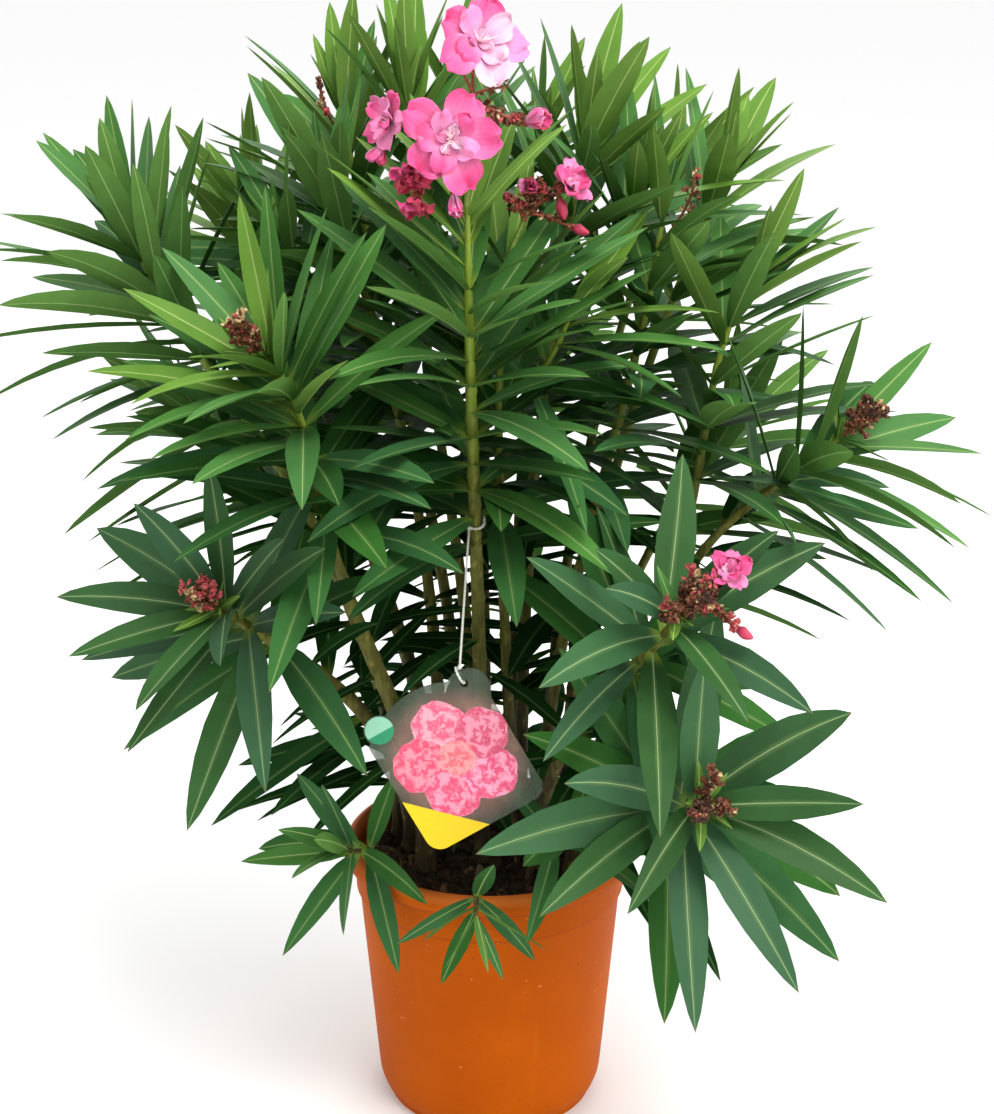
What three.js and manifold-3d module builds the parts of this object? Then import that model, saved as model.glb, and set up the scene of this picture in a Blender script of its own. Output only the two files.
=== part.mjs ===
// Potted oleander: a clump of upright stems in a round plastic nursery pot, with whorled leaves,
// trusses of double pink flowers and a hanging plant tag on a string.
// Millimetres, +Z up. The origin is the centre of the pot's flat underside. -Y is the front.
import * as THREE from "three";
import { mergeVertices } from "three/addons/utils/BufferGeometryUtils.js";
import Module from "manifold-3d";

const wasm = await Module();
wasm.setup();
const { Manifold, Mesh: SolidMesh } = wasm;

// ---------------------------------------------------------------- driving dimensions

const POT = {
  height: 230,
  rimRadius: 120,
  rimDepth: 17,
  rimInnerRadius: 108,
  bandRadius: 110,
  bandDepth: 44,
  bandStep: 2.6,
  baseRadius: 93.5,
  footRadius: 85,
  footHeight: 6,
  cornerHeight: 26,
  wall: 2.6,
  floor: 4,
  sides: 36,
};
const SOIL = { level: 210, edgeDrop: 5, gap: 0.3, shrink: 1.2, sides: 24 };
const GAP = 0.3; // between pieces that touch
const FINEST = 0.05; // edges shorter than this are merged away when pieces are joined
const BEND = { out: 0.4, into: 0.32 }; // how far a path runs straight at each end, as shares of its reach
const LIMB = { sides: 5, steps: 5, flare: 1.4, flareShare: 0.1 };
// Radii as shares of the thicker end.
const TAPER = { stem: 0.66, forked: 0.8, boughFoot: 0.58, bough: 0.86 };
const TWIG = { sides: 3, steps: 5, tipRadius: 1.6 };
const LEAF = {
  aspect: 0.18, // width over length
  thickness: 0.0135, // share of the length
  shoulder: [0.18, 0.62], // share of the length, share of the full width
  widest: 0.56,
  sag: 0.14,
  clearance: 0.6, // from everything outside its mass
  apart: 0.1, // from the other leaves of its mass, past the root
  rootShare: 0.2, // that much of it may meet its neighbours at the twig
};
const WHORL = {
  leaves: 3,
  topOpening: 18, // degrees from the twig, at its tip
  lowOpening: 78,
  openingPower: 0.65,
  spacingPower: 1.25,
  tipShare: 0.74, // the youngest leaves' length, as a share of the full one
};
// How far the leaves of a whorl differ: turns in radians, opening in degrees, and shares of the full size.
const SCATTER = { whorl: 0.5, leaf: 0.3, opening: 16, shortest: 0.9, length: 0.18, leastSag: 0.4, sag: 1.3 };
const LEAFY = { nearTip: 0.03, reach: 0.9, fullAge: 2.2 }; // where a twig's first and last whorls stand
const SPENT = { stalks: 3, tilt: 16, spread: 14, length: 30, extra: 14, swell: 0.6 };
const SIDE_TWIG = {
  from: 0.5,
  length: 0.42,
  tilt: 42,
  forward: 0.4,
  rise: 0.6,
  radius: 2.4,
  leafFrom: 0.3,
  whorls: 3,
  leafShare: 0.86,
  steps: 2,
};
const TURNS = [0, 11, -11, 22, -22, 34, -34]; // degrees that a leaf may turn aside to stay clear

// Stems that rise from the soil. foot is x, y on the soil; tip is x, y, z; aim is where the tip points.
// bare is the share of the way with no leaves, where the stem's own solid ends.
const STEMS = [
  {
    name: "front_centre", foot: [-6, -8], tip: [-15, -90, 770], aim: [0, -0.05, 1], bare: 0.44,
    base: 6.2, whorls: 8, leaf: 158,
  },
  {
    name: "left_low", foot: [-64, 12], tip: [-200, -130, 478], aim: [-0.4, -0.66, 0.64],
    bare: 0.74, base: 7, whorls: 6, leaf: 142, spread: 1.2, spent: 1,
  },
  {
    name: "second", foot: [18, 16], tip: [15, -30, 715], aim: [0.12, -0.06, 1], bare: 0.46,
    base: 5.6, whorls: 6, leaf: 155, side: 1,
  },
  {
    name: "left_top", foot: [-40, 48], tip: [-126, 30, 762], aim: [-0.35, -0.05, 0.93],
    bare: 0.5, base: 6, whorls: 7, leaf: 155, side: -1,
  },
  {
    name: "top_left", foot: [-22, 70], tip: [-115, 100, 805], aim: [-0.16, 0.1, 0.98],
    bare: 0.52, base: 5.8, whorls: 7, leaf: 152,
  },
  {
    name: "top_centre", foot: [-8, 34], tip: [-62, 60, 822], aim: [0.02, 0, 1], bare: 0.52,
    base: 5.8, whorls: 7, leaf: 152,
  },
  {
    name: "top_right", foot: [26, 52], tip: [75, 60, 790], aim: [0.2, 0, 0.98], bare: 0.52,
    base: 5.8, whorls: 6, leaf: 155, side: 1,
  },
  {
    name: "right_inner", foot: [42, 14], tip: [132, 20, 740], aim: [0.1, -0.05, 0.99],
    bare: 0.54, base: 5.6, whorls: 7, leaf: 146,
  },
  {
    name: "right_top", foot: [62, 32], tip: [182, 75, 752], aim: [0.4, 0.05, 0.92], bare: 0.54,
    base: 5.8, whorls: 7, leaf: 150,
  },
  {
    name: "left_mid", foot: [-76, 40], tip: [-225, 60, 565], aim: [-0.75, 0.1, 0.65],
    bare: 0.52, base: 5.6, whorls: 6, leaf: 150,
  },
  {
    name: "right_front", foot: [38, -26], tip: [135, -190, 495], aim: [0.17, -0.66, 0.71],
    bare: 0.64, base: 5.8, whorls: 6, leaf: 146, spread: 1.15, spent: 1,
  },
  {
    name: "right_low", foot: [66, -34], tip: [154, -206, 352], aim: [0.3, -0.78, 0.52],
    bare: 0.68, base: 5.8, whorls: 6, leaf: 160, spread: 1.25, spent: 1,
  },
  {
    name: "back_centre", foot: [-4, 82], tip: [-25, 205, 790], aim: [-0.1, 0.35, 0.93],
    bare: 0.5, base: 5.8, whorls: 6, leaf: 152, side: 1,
  },
  {
    name: "back_low", foot: [20, 84], tip: [35, 265, 560], aim: [0.1, 0.75, 0.6], bare: 0.5,
    base: 5.6, whorls: 6, leaf: 150,
  },
  {
    name: "back_right", foot: [48, 72], tip: [150, 190, 735], aim: [0.35, 0.4, 0.85],
    bare: 0.52, base: 5.6, whorls: 6, leaf: 152, side: -1,
  },
  {
    name: "back_right_low", foot: [74, 52], tip: [215, 190, 520], aim: [0.7, 0.55, 0.5],
    bare: 0.5, base: 5.6, whorls: 6, leaf: 150,
  },
];
// Stems that fork once into two boughs, each with its own mass of leaves.
const FORKS = [
  {
    name: "left",
    foot: [-52, -22],
    fork: [-112, -62, 470],
    aim: [-0.28, -0.12, 0.95],
    base: 7.2,
    boughs: [
      {
        name: "left_front", tip: [-160, -118, 665], aim: [-0.5, -0.38, 0.78], bare: 0.12,
        whorls: 7, leaf: 158, spent: 1,
      },
      {
        name: "left_far", tip: [-270, 0, 730], aim: [-0.3, 0.02, 0.95], bare: 0.34, whorls: 7,
        leaf: 155,
      },
    ],
  },
  {
    name: "right",
    foot: [74, -4],
    fork: [142, -12, 440],
    aim: [0.34, 0, 0.94],
    base: 6.8,
    boughs: [
      {
        name: "right_upper", tip: [200, 5, 692], aim: [0.5, 0, 0.87], bare: 0.12, whorls: 7,
        leaf: 155,
      },
      {
        name: "right_far", tip: [268, -30, 578], aim: [0.72, -0.05, 0.69], bare: 0.4,
        whorls: 7, leaf: 152, spent: 1, spread: 0.92,
      },
    ],
  },
  {
    name: "back_left",
    foot: [-46, 74],
    fork: [-100, 130, 430],
    aim: [-0.3, 0.3, 0.9],
    base: 6.8,
    boughs: [
      {
        name: "back_left_top", tip: [-195, 150, 705], aim: [-0.4, 0.2, 0.9], bare: 0.14,
        whorls: 7, leaf: 152,
      },
      {
        name: "back_left_low", tip: [-140, 245, 545], aim: [-0.5, 0.65, 0.58], bare: 0.18,
        whorls: 6, leaf: 150,
      },
    ],
  },
];
// Low side shoots with a leafy stem all the way from the soil.
const LOW_SHOOTS = [
  {
    name: "left_rim", foot: [-72, -30], tip: [-112, -88, 258], aim: [-0.5, -0.6, 0.5],
    base: 2.4, whorls: 4, leaf: 92, leafy: 0.35,
  },
  {
    name: "front_rim", foot: [-6, -62], tip: [-10, -158, 236], aim: [0, -0.6, -0.8], base: 2,
    whorls: 3, leaf: 66, leafy: 0.18,
  },
  {
    name: "right_rim", foot: [30, -62], tip: [66, -108, 284], aim: [0.35, -0.5, 0.6],
    base: 2.4, whorls: 3, leaf: 100, leafy: 0.35,
  },
];

// Trusses of flowers. Each stands on the tip of the mass that it names; blooms are x, y, z from that tip.
const TRUSSES = [
  {
    name: "main",
    on: "front_centre",
    fork: [4, -5, 70],
    radius: 2.2,
    blooms: [
      { at: [10, -7, 115], radius: 33, face: [0.35, -0.75, 0.35] },
      { at: [-12, -30, 50], radius: 34, face: [0, -0.95, 0.2] },
      { at: [-55, -8, 60], radius: 22, face: [-0.7, -0.6, 0.2] },
      { at: [-40, -14, 12], radius: 16, face: [-0.2, -0.7, -0.6] },
      { at: [44, -9, 58], radius: 11, face: [0.8, -0.4, 0.3] },
    ],
  },
  {
    name: "second",
    on: "second",
    fork: [14, -6, 38],
    radius: 2,
    blooms: [
      { at: [52, -16, 68], radius: 18, face: [0.5, -0.7, 0.4] },
      { at: [50, -14, 36], radius: 9, face: [0.8, -0.4, -0.2] },
      { at: [16, -12, 56], radius: 10, face: [-0.2, -0.8, 0.4] },
    ],
  },
  {
    name: "right",
    on: "right_front",
    fork: [22, -16, 16],
    radius: 2,
    blooms: [
      { at: [34, -22, 44], radius: 17, face: [0.3, -0.8, 0.4] },
      { at: [44, -16, -8], radius: 9, face: [0.7, -0.5, -0.3] },
    ],
  },
];
const BLOOM = { lobes: 5, notch: 0.72, depth: 0.34, cup: 0.3 };

// The tag is a plate with an arched top, a hanging ear at one shoulder and a round tab at the other.
const TAG = {
  left: -48,
  right: 52,
  bottom: -54,
  shoulder: 44,
  crown: 66,
  corner: 12,
  thickness: 1,
  turn: 30, // degrees, anticlockwise from the front
  lean: -6,
  centre: [-27, -132, 350],
  ear: { x: 40, y: 46, radius: 17 },
  tab: { x: -34, y: 52, radius: 12 },
  hole: { x: 40, y: 52, radius: 3 },
};
const STRING = { radius: 0.9, knot: 512, loop: 8.2, ring: 6.5, sides: 5 };

const COLOURS = {
  pot: 0xd2601a,
  soil: 0x2a2019,
  stem: 0x6b6a34,
  leaf: 0x2f6b2c,
  bloom: 0xee5f95,
  tag: 0xe86f8d,
  string: 0xf2f0e8,
};

// ---------------------------------------------------------------- small helpers

const degrees = THREE.MathUtils.degToRad;
const vec = (v) => new THREE.Vector3(...v);
const UP = vec([0, 0, 1]);
const DOWN = vec([0, 0, -1]);

// The same numbers on every run: a Lehmer generator.
function seeded(seed) {
  let state = seed * 7919 + 17;
  return () => {
    state = (state * 16807) % 2147483647;
    return state / 2147483647;
  };
}

const material = (colour, roughness = 0.6) =>
  new THREE.MeshStandardMaterial({ color: colour, roughness, metalness: 0 });

// A closed solid from a three.js geometry, turned right side out if its faces point inwards.
function solidOf(geometry) {
  const bare = new THREE.BufferGeometry();
  bare.setAttribute("position", geometry.getAttribute("position").clone());
  if (geometry.index) bare.setIndex(geometry.index.clone());
  const merged = mergeVertices(bare, 1e-3);
  const build = (triVerts) =>
    new Manifold(
      new SolidMesh({ numProp: 3, vertProperties: merged.attributes.position.array, triVerts }),
    );
  const faces = new Uint32Array(merged.index.array);
  const solid = build(faces);
  return solid.volume() >= 0 ? solid : build(faces.reverse());
}

// The three.js geometry of a solid.
function geometryOf(solid) {
  const mesh = solid.getMesh();
  const geometry = new THREE.BufferGeometry();
  const positions = new Float32Array(mesh.numVert * 3);
  for (let i = 0; i < mesh.numVert; i++)
    positions.set(mesh.vertProperties.subarray(i * mesh.numProp, i * mesh.numProp + 3), i * 3);
  geometry.setAttribute("position", new THREE.BufferAttribute(positions, 3));
  geometry.setIndex(new THREE.BufferAttribute(new Uint32Array(mesh.triVerts), 1));
  geometry.computeVertexNormals();
  return geometry;
}

// Solids joined into one body: sealed hollows are filled, and loose scraps and slivers dropped.
function joinedOf(parts) {
  const bodies = Manifold.union(parts).simplify(FINEST).decompose();
  return bodies.reduce((best, body) => (body.volume() > best.volume() ? body : best));
}

function named(name, geometry, look) {
  const mesh = new THREE.Mesh(geometry, look);
  mesh.name = name;
  return mesh;
}

// Moves each point of a geometry to where place(point) says.
function reshape(geometry, place) {
  const at = geometry.getAttribute("position");
  const point = new THREE.Vector3();
  for (let i = 0; i < at.count; i++) {
    point.fromBufferAttribute(at, i);
    const moved = place(point);
    at.setXYZ(i, moved.x, moved.y, moved.z);
  }
  return geometry;
}

// ---------------------------------------------------------------- paths and limbs

// A smooth path that leaves start along `out` and reaches end along `aim`.
function pathBetween(start, out, end, aim) {
  const reach = start.distanceTo(end);
  return new THREE.CubicBezierCurve3(
    start,
    start.clone().addScaledVector(out, reach * BEND.out),
    end.clone().addScaledVector(aim, -reach * BEND.into),
    end,
  );
}

// The axes across a path, from one horizontal line that the path doesn't follow.
function frameAt(path, t) {
  const along = path.getTangent(t);
  const level = Math.abs(along.x) > 0.9 ? vec([0, 1, 0]) : vec([1, 0, 0]);
  const front = new THREE.Vector3().crossVectors(level, along).normalize();
  const right = new THREE.Vector3().crossVectors(along, front).normalize();
  return { along, front, right };
}

// A round, tapering solid along a stretch of a path, from a lathe of unit radius and height.
function sweep(path, from, to, radiusAt, sides, steps) {
  const profile = [new THREE.Vector2(0, 0)];
  for (let i = 0; i <= steps; i++) profile.push(new THREE.Vector2(1, i / steps));
  profile.push(new THREE.Vector2(0, 1));
  const lathe = new THREE.LatheGeometry(profile, sides);
  return reshape(lathe, (p) => {
    const t = from + (to - from) * p.y;
    const { front, right } = frameAt(path, t);
    const radius = radiusAt(p.y);
    return path
      .getPoint(t)
      .addScaledVector(right, p.x * radius)
      .addScaledVector(front, p.z * radius);
  });
}

// A limb: thicker at its foot, where a root flare spreads, and tapering evenly to its end.
function limbSolid(path, from, to, startRadius, endRadius, flare) {
  const radiusAt = (share) => {
    const even = startRadius + (endRadius - startRadius) * share;
    const spread = Math.max(0, 1 - share / LIMB.flareShare);
    return even * (1 + (flare - 1) * spread * spread);
  };
  return solidOf(sweep(path, from, to, radiusAt, LIMB.sides, LIMB.steps));
}

// ---------------------------------------------------------------- leaves and masses

// One leaf: a three-sided spindle, widest past its middle, flat above with a keel below, that sags
// along its length. It is made from `start`, a share of its length, to its tip.
function leafSolid(leaf, start = 0) {
  const [shoulderAt, shoulderWidth] = LEAF.shoulder;
  const profile = [
    new THREE.Vector2(0, start),
    new THREE.Vector2(shoulderWidth, Math.max(shoulderAt, start + 0.06)),
    new THREE.Vector2(1, LEAF.widest),
    new THREE.Vector2(0, 1),
  ];
  const halfWidth = leaf.width / (2 * Math.sin(Math.PI / 3));
  const depth = (leaf.length * LEAF.thickness) / 1.5;
  const inner = new THREE.Vector3().crossVectors(leaf.side, leaf.out);
  return solidOf(
    reshape(new THREE.LatheGeometry(profile, 3), (p) =>
      midlineAt(leaf, p.y)
        .addScaledVector(leaf.side, p.x * halfWidth)
        .addScaledVector(inner, -p.z * depth),
    ),
  );
}

// A point of a leaf's midline: straight out, and falling with the square of the way along it.
function midlineAt(leaf, share) {
  return leaf.root
    .clone()
    .addScaledVector(leaf.out, leaf.length * share)
    .addScaledVector(DOWN, leaf.length * leaf.sag * share * share);
}

// The leaf that leaves `root` at an angle `opening` from the twig, on the side `around` it.
function leafAt(root, frame, around, opening, length, sag) {
  const outward = frame.right
    .clone()
    .multiplyScalar(Math.cos(around))
    .addScaledVector(frame.front, Math.sin(around));
  const out = frame.along
    .clone()
    .multiplyScalar(Math.cos(opening))
    .addScaledVector(outward, Math.sin(opening));
  const inner = frame.along
    .clone()
    .multiplyScalar(Math.sin(opening))
    .addScaledVector(outward, -Math.cos(opening));
  const side = new THREE.Vector3().crossVectors(out, inner).normalize();
  const level = Math.hypot(out.x, out.y);
  return { root, out, side, length, width: length * LEAF.aspect, sag: sag * level };
}

// What is already in place, as solids with their boxes.
const obstacles = [];
const place = (solid, mass) => obstacles.push({ solid, mass, box: solid.boundingBox() });

function boxesMeet(a, b, gap) {
  return [0, 1, 2].every((k) => a.min[k] <= b.max[k] + gap && b.min[k] <= a.max[k] + gap);
}

// Whether a solid keeps this gap from everything in place, or from everything outside its own mass.
function isClear(solid, gap, mass) {
  const box = solid.boundingBox();
  const meets = (o) => boxesMeet(box, o.box, gap) && solid.minGap(o.solid, gap) < gap;
  return !obstacles.some((o) => (mass === undefined || o.mass !== mass) && meets(o));
}

// A leaf fits where all of it is clear of other masses and limbs, and its blade of its own mass too.
function fits(leaf, mass) {
  const blade = leafSolid(leaf, LEAF.rootShare);
  return isClear(leafSolid(leaf), LEAF.clearance, mass) && isClear(blade, LEAF.apart);
}

// The whorls of leaves along a twig. Young leaves at the tip stand up close to it, and older ones open.
// A leaf turns aside to stay clear of what is in place, and is left out where it can't.
function* whorls({ path, leafFrom, spread = 1, ...twig }, random) {
  const { topOpening, lowOpening, openingPower, spacingPower, tipShare } = WHORL;
  for (let k = 0; k < twig.whorls; k++) {
    const age = k / (twig.whorls - 1);
    const t = 1 - (1 - leafFrom) * (LEAFY.nearTip + LEAFY.reach * Math.pow(age, spacingPower));
    const frame = frameAt(path, t);
    const phase = k * (Math.PI / WHORL.leaves) + (random() - 0.5) * SCATTER.whorl + twig.phase;
    const opening = spread * (topOpening + (lowOpening - topOpening) * Math.pow(age, openingPower));
    const share = tipShare + (1 - tipShare) * Math.min(1, age * LEAFY.fullAge);
    for (let i = 0; i < WHORL.leaves; i++)
      yield {
        root: path.getPoint(t),
        frame,
        around: phase + (i * 2 * Math.PI) / WHORL.leaves + (random() - 0.5) * SCATTER.leaf,
        opening: degrees(opening + (random() - 0.5) * SCATTER.opening),
        length: twig.leaf * share * (SCATTER.shortest + SCATTER.length * random()),
        sag: LEAF.sag * (SCATTER.leastSag + SCATTER.sag * random()),
      };
  }
}

// The bare twigs of a mass: the main one, and its side twig where it has one.
function massTwigs({ mass, path, from, radius }, seed) {
  const leafFrom = mass.leafy ? 1 - mass.leafy : from;
  const main = { ...mass, path, from, radius, leafFrom, phase: seed };
  const solidFor = (twig, steps) => {
    const radiusAt = (share) => twig.radius + (TWIG.tipRadius - twig.radius) * share;
    return solidOf(sweep(twig.path, twig.from, 1, radiusAt, TWIG.sides, steps));
  };
  main.solid = solidFor(main, TWIG.steps);
  place(main.solid, mass.name);
  if (!mass.side) return [main];
  const side = sideTwig(mass, path, from, seed);
  side.solid = solidFor(side, SIDE_TWIG.steps);
  if (!isClear(side.solid, LEAF.clearance, mass.name)) return [main];
  place(side.solid, mass.name);
  return [main, side];
}

// The dry stalks that a spent truss leaves at the tip.
function spentStalks(path, random) {
  const frame = frameAt(path, 1);
  const tip = path.getPoint(1).addScaledVector(frame.along, -TWIG.tipRadius);
  return Array.from({ length: SPENT.stalks }, (_, i) => {
    const around = (i * 2 * Math.PI) / SPENT.stalks + random();
    const tilt = degrees(SPENT.tilt + SPENT.spread * random());
    const { out, length } = leafAt(tip, frame, around, tilt, SPENT.length + SPENT.extra * random(), 0);
    const stalk = new THREE.LineCurve3(tip, tip.clone().addScaledVector(out, length));
    return solidOf(sweep(stalk, 0, 1, (share) => TWIG.tipRadius * (1 + SPENT.swell * share), TWIG.sides, 1));
  });
}

// A mass of foliage: its twigs and their leaves, joined into one solid.
function massSolid(mass, twigs, seed) {
  const random = seeded(seed);
  const parts = twigs.map((twig) => twig.solid);
  if (mass.spent)
    for (const stalk of spentStalks(twigs[0].path, random)) {
      if (!isClear(stalk, LEAF.clearance, mass.name)) continue;
      parts.push(stalk);
      place(stalk, mass.name);
    }
  for (const twig of twigs)
    for (const spot of whorls(twig, random)) {
      const leaf = TURNS.map((turn) =>
        leafAt(spot.root, spot.frame, spot.around + degrees(turn), spot.opening, spot.length, spot.sag),
      ).find((l) => fits(l, mass.name));
      if (!leaf) continue;
      place(leafSolid(leaf, LEAF.rootShare), mass.name);
      parts.push(leafSolid(leaf));
    }
  const joined = joinedOf(parts);
  place(joined, mass.name);
  return joined;
}

// A side twig leaves the main one part way up and ends in a leafy tip of its own.
function sideTwig(mass, path, from, seed) {
  const t = from + (1 - from) * SIDE_TWIG.from;
  const { along, right, front } = frameAt(path, t);
  const start = path.getPoint(t);
  const tilt = degrees(SIDE_TWIG.tilt);
  const out = along
    .clone()
    .multiplyScalar(Math.cos(tilt))
    .addScaledVector(right, Math.sin(tilt) * mass.side)
    .addScaledVector(front, Math.sin(tilt) * SIDE_TWIG.forward)
    .normalize();
  const length = path.getLength() * (1 - from) * SIDE_TWIG.length;
  const aim = out.clone().lerp(UP, SIDE_TWIG.rise).normalize();
  const bend = start.clone().addScaledVector(out, length * 0.5);
  const end = bend.clone().addScaledVector(aim, length * 0.5);
  const twigPath = pathBetween(start, out, end, aim);
  return {
    path: twigPath,
    from: 0,
    radius: SIDE_TWIG.radius,
    leafFrom: SIDE_TWIG.leafFrom,
    whorls: SIDE_TWIG.whorls,
    leaf: mass.leaf * SIDE_TWIG.leafShare,
    phase: seed + 0.5,
  };
}

// ---------------------------------------------------------------- pot and soil

// Radii inside the pot's wall, at its band's foot and at the top of its floor's round corner.
const bandFoot = POT.height - POT.bandDepth;
const lipFoot = POT.height - POT.rimDepth;
const innerBand = POT.bandRadius - POT.bandStep - POT.wall;
const innerBase = POT.baseRadius - POT.wall - 2;

const turned = (outline, sides) =>
  new THREE.LatheGeometry(outline.map(([r, z]) => new THREE.Vector2(r, z)), sides).rotateX(Math.PI / 2);

// A tapering wall on a raised foot, with a step up to the band under a rolled rim.
function potGeometry() {
  const { height, rimRadius, rimDepth, rimInnerRadius, bandRadius, bandStep, baseRadius } = POT;
  const outline = [
    [0, 0],
    [POT.footRadius, 0],
    [POT.footRadius, POT.footHeight],
    [POT.footRadius + 3, POT.footHeight],
    [baseRadius - 1.2, 16],
    [baseRadius, POT.cornerHeight],
    [bandRadius - bandStep, bandFoot],
    [bandRadius, bandFoot + 1.6],
    [bandRadius + 0.4, lipFoot],
    [rimRadius - 2, lipFoot],
    [rimRadius, height - rimDepth * 0.55],
    [rimRadius - 3.2, height - rimDepth * 0.16],
    [rimRadius - 8, height],
    [rimInnerRadius + 4, height - 1.4],
    [rimInnerRadius, height - 6],
    [bandRadius - POT.wall, lipFoot - 4],
    [innerBand, bandFoot],
    [innerBase, POT.cornerHeight - 2],
    [innerBase - 6, POT.floor],
    [0, POT.floor],
  ];
  return turned(outline, POT.sides);
}

// Compost up to its level, drawn in from the wall by enough to clear the flats of the pot's sides.
function soilGeometry() {
  const { level, edgeDrop, gap, shrink } = SOIL;
  const outline = [
    [0, POT.floor + gap],
    [innerBase - shrink - 6, POT.floor + gap],
    [innerBase - shrink, POT.cornerHeight - 1.5],
    [innerBand - shrink, bandFoot],
    [innerBand - shrink, level - edgeDrop],
    [innerBand - shrink - 6, level],
    [0, level],
  ];
  return turned(outline, SOIL.sides);
}

// ---------------------------------------------------------------- tag and string

// A plate with round lower corners and an arched top, joined to its ear and its tab.
function tagSolid() {
  const { left, right, bottom, shoulder, crown, corner, thickness, ear, tab } = TAG;
  const outline = new THREE.Shape();
  outline.moveTo(left + corner, bottom);
  outline.lineTo(right - corner, bottom);
  outline.absarc(right - corner, bottom + corner, corner, -Math.PI / 2, 0);
  outline.lineTo(right, shoulder);
  outline.quadraticCurveTo((left + right) / 2, 2 * crown - shoulder, left, shoulder);
  outline.absarc(left + corner, bottom + corner, corner, Math.PI, Math.PI * 1.5);
  const plate = (shape, curveSegments) =>
    solidOf(new THREE.ExtrudeGeometry(shape, { depth: thickness, bevelEnabled: false, curveSegments }));
  const disc = ({ x, y, radius }) => plate(new THREE.Shape().absarc(x, y, radius, 0, 2 * Math.PI), 9);
  const hole = new THREE.CylinderGeometry(TAG.hole.radius, TAG.hole.radius, thickness * 4, 8);
  return plate(outline, 4)
    .add(disc(ear))
    .add(disc(tab))
    .subtract(solidOf(hole.rotateX(Math.PI / 2).translate(TAG.hole.x, TAG.hole.y, 0)));
}

// A loop round the stem, one taut line down from it, and a small ring through the tag's hole.
function stringSolid(stemPath, tag) {
  const { radius, loop, ring, sides } = STRING;
  const knot = pointAtHeight(stemPath, STRING.knot);
  const stemLoop = new THREE.TorusGeometry(loop, radius, sides, 12).translate(knot.x, knot.y, knot.z);
  const edge = TAG.ear.y + TAG.ear.radius;
  const middle = (TAG.hole.y + TAG.hole.radius + edge) / 2;
  const centre = vec([TAG.hole.x, middle, TAG.thickness / 2]);
  const tagRing = new THREE.TorusGeometry(ring, radius, sides, 12)
    .rotateY(Math.PI / 2)
    .translate(...centre)
    .applyMatrix4(tag.matrixWorld);
  const ringCentre = tag.localToWorld(centre);
  const line = pathBetween(
    knot.clone().add(vec([0, -loop, 0])),
    DOWN,
    ringCentre.clone().addScaledVector(UP, ring),
    DOWN,
  );
  const parts = [solidOf(stemLoop), solidOf(tagRing), solidOf(sweep(line, 0, 1, () => radius, sides, 4))];
  return joinedOf(parts);
}

// Where a path that rises all the way passes a height.
function pointAtHeight(path, height) {
  let low = 0;
  let high = 1;
  for (let i = 0; i < 40; i++) {
    const middle = (low + high) / 2;
    if (path.getPoint(middle).z < height) low = middle;
    else high = middle;
  }
  return path.getPoint(low);
}

// ---------------------------------------------------------------- flowers

// A shallow cup with a scalloped edge, one scallop to a petal, opening along `face`.
function bloomSolid(centre, radius, face) {
  const sides = BLOOM.lobes * 2;
  const profile = [
    new THREE.Vector2(0, -BLOOM.depth),
    new THREE.Vector2(1, BLOOM.cup),
    new THREE.Vector2(0, 0.06),
  ];
  const along = face.clone().normalize();
  const right = new THREE.Vector3().crossVectors(UP, along).normalize();
  const front = new THREE.Vector3().crossVectors(along, right);
  const cup = new THREE.LatheGeometry(profile, sides);
  return solidOf(
    reshape(cup, (p) => {
      const lobe = Math.round((Math.atan2(p.x, p.z) / (2 * Math.PI)) * sides) % 2 === 0 ? 1 : BLOOM.notch;
      return centre
        .clone()
        .addScaledVector(right, p.x * radius * lobe)
        .addScaledVector(front, p.z * radius * lobe)
        .addScaledVector(along, p.y * radius);
    }),
  );
}

// A truss: a stalk from the mass's tip to a fork, and a pedicel from there to each bloom.
function trussSolid(truss, foot, along) {
  const straight = (a, b, r) => {
    const line = new THREE.LineCurve3(a, b);
    return solidOf(sweep(line, 0, 1, () => r, TWIG.sides, 1));
  };
  const fork = foot.clone().add(vec(truss.fork));
  const stalk = pathBetween(foot, along, fork, fork.clone().sub(foot).normalize());
  const parts = [solidOf(sweep(stalk, 0, 1, () => truss.radius, TWIG.sides, 2))];
  for (const bloom of truss.blooms) {
    const centre = foot.clone().add(vec(bloom.at));
    const face = vec(bloom.face);
    const back = centre.clone().addScaledVector(face.clone().normalize(), -bloom.radius * BLOOM.depth * 0.4);
    const toFork = fork.clone().sub(back).normalize();
    parts.push(straight(fork.clone().addScaledVector(toFork, 1.5), back, truss.radius * 0.7));
    parts.push(bloomSolid(centre, bloom.radius, face));
  }
  return joinedOf(parts);
}

// ---------------------------------------------------------------- the whole plant in its pot

const looks = Object.fromEntries(Object.entries(COLOURS).map(([k, colour]) => [k, material(colour)]));
const root = new THREE.Group();
const plant = new THREE.Group();
root.add(plant);

const pot = named("pot", potGeometry(), looks.pot);
const soil = named("soil", soilGeometry(), looks.soil);
root.add(pot, soil);
place(solidOf(pot.geometry), "pot");
place(solidOf(soil.geometry), "soil");

// Limbs first, so that every mass can stay clear of them.
const masses = [];
function addLimb(name, path, from, to, startRadius, endRadius, flare) {
  const solid = limbSolid(path, from, to, startRadius, endRadius, flare);
  place(solid, name);
  plant.add(named(name, geometryOf(solid), looks.stem));
}
const gapShare = (path) => GAP / path.getLength();
const soilPoint = ([x, y]) => vec([x, y, SOIL.level + GAP]);

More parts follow.
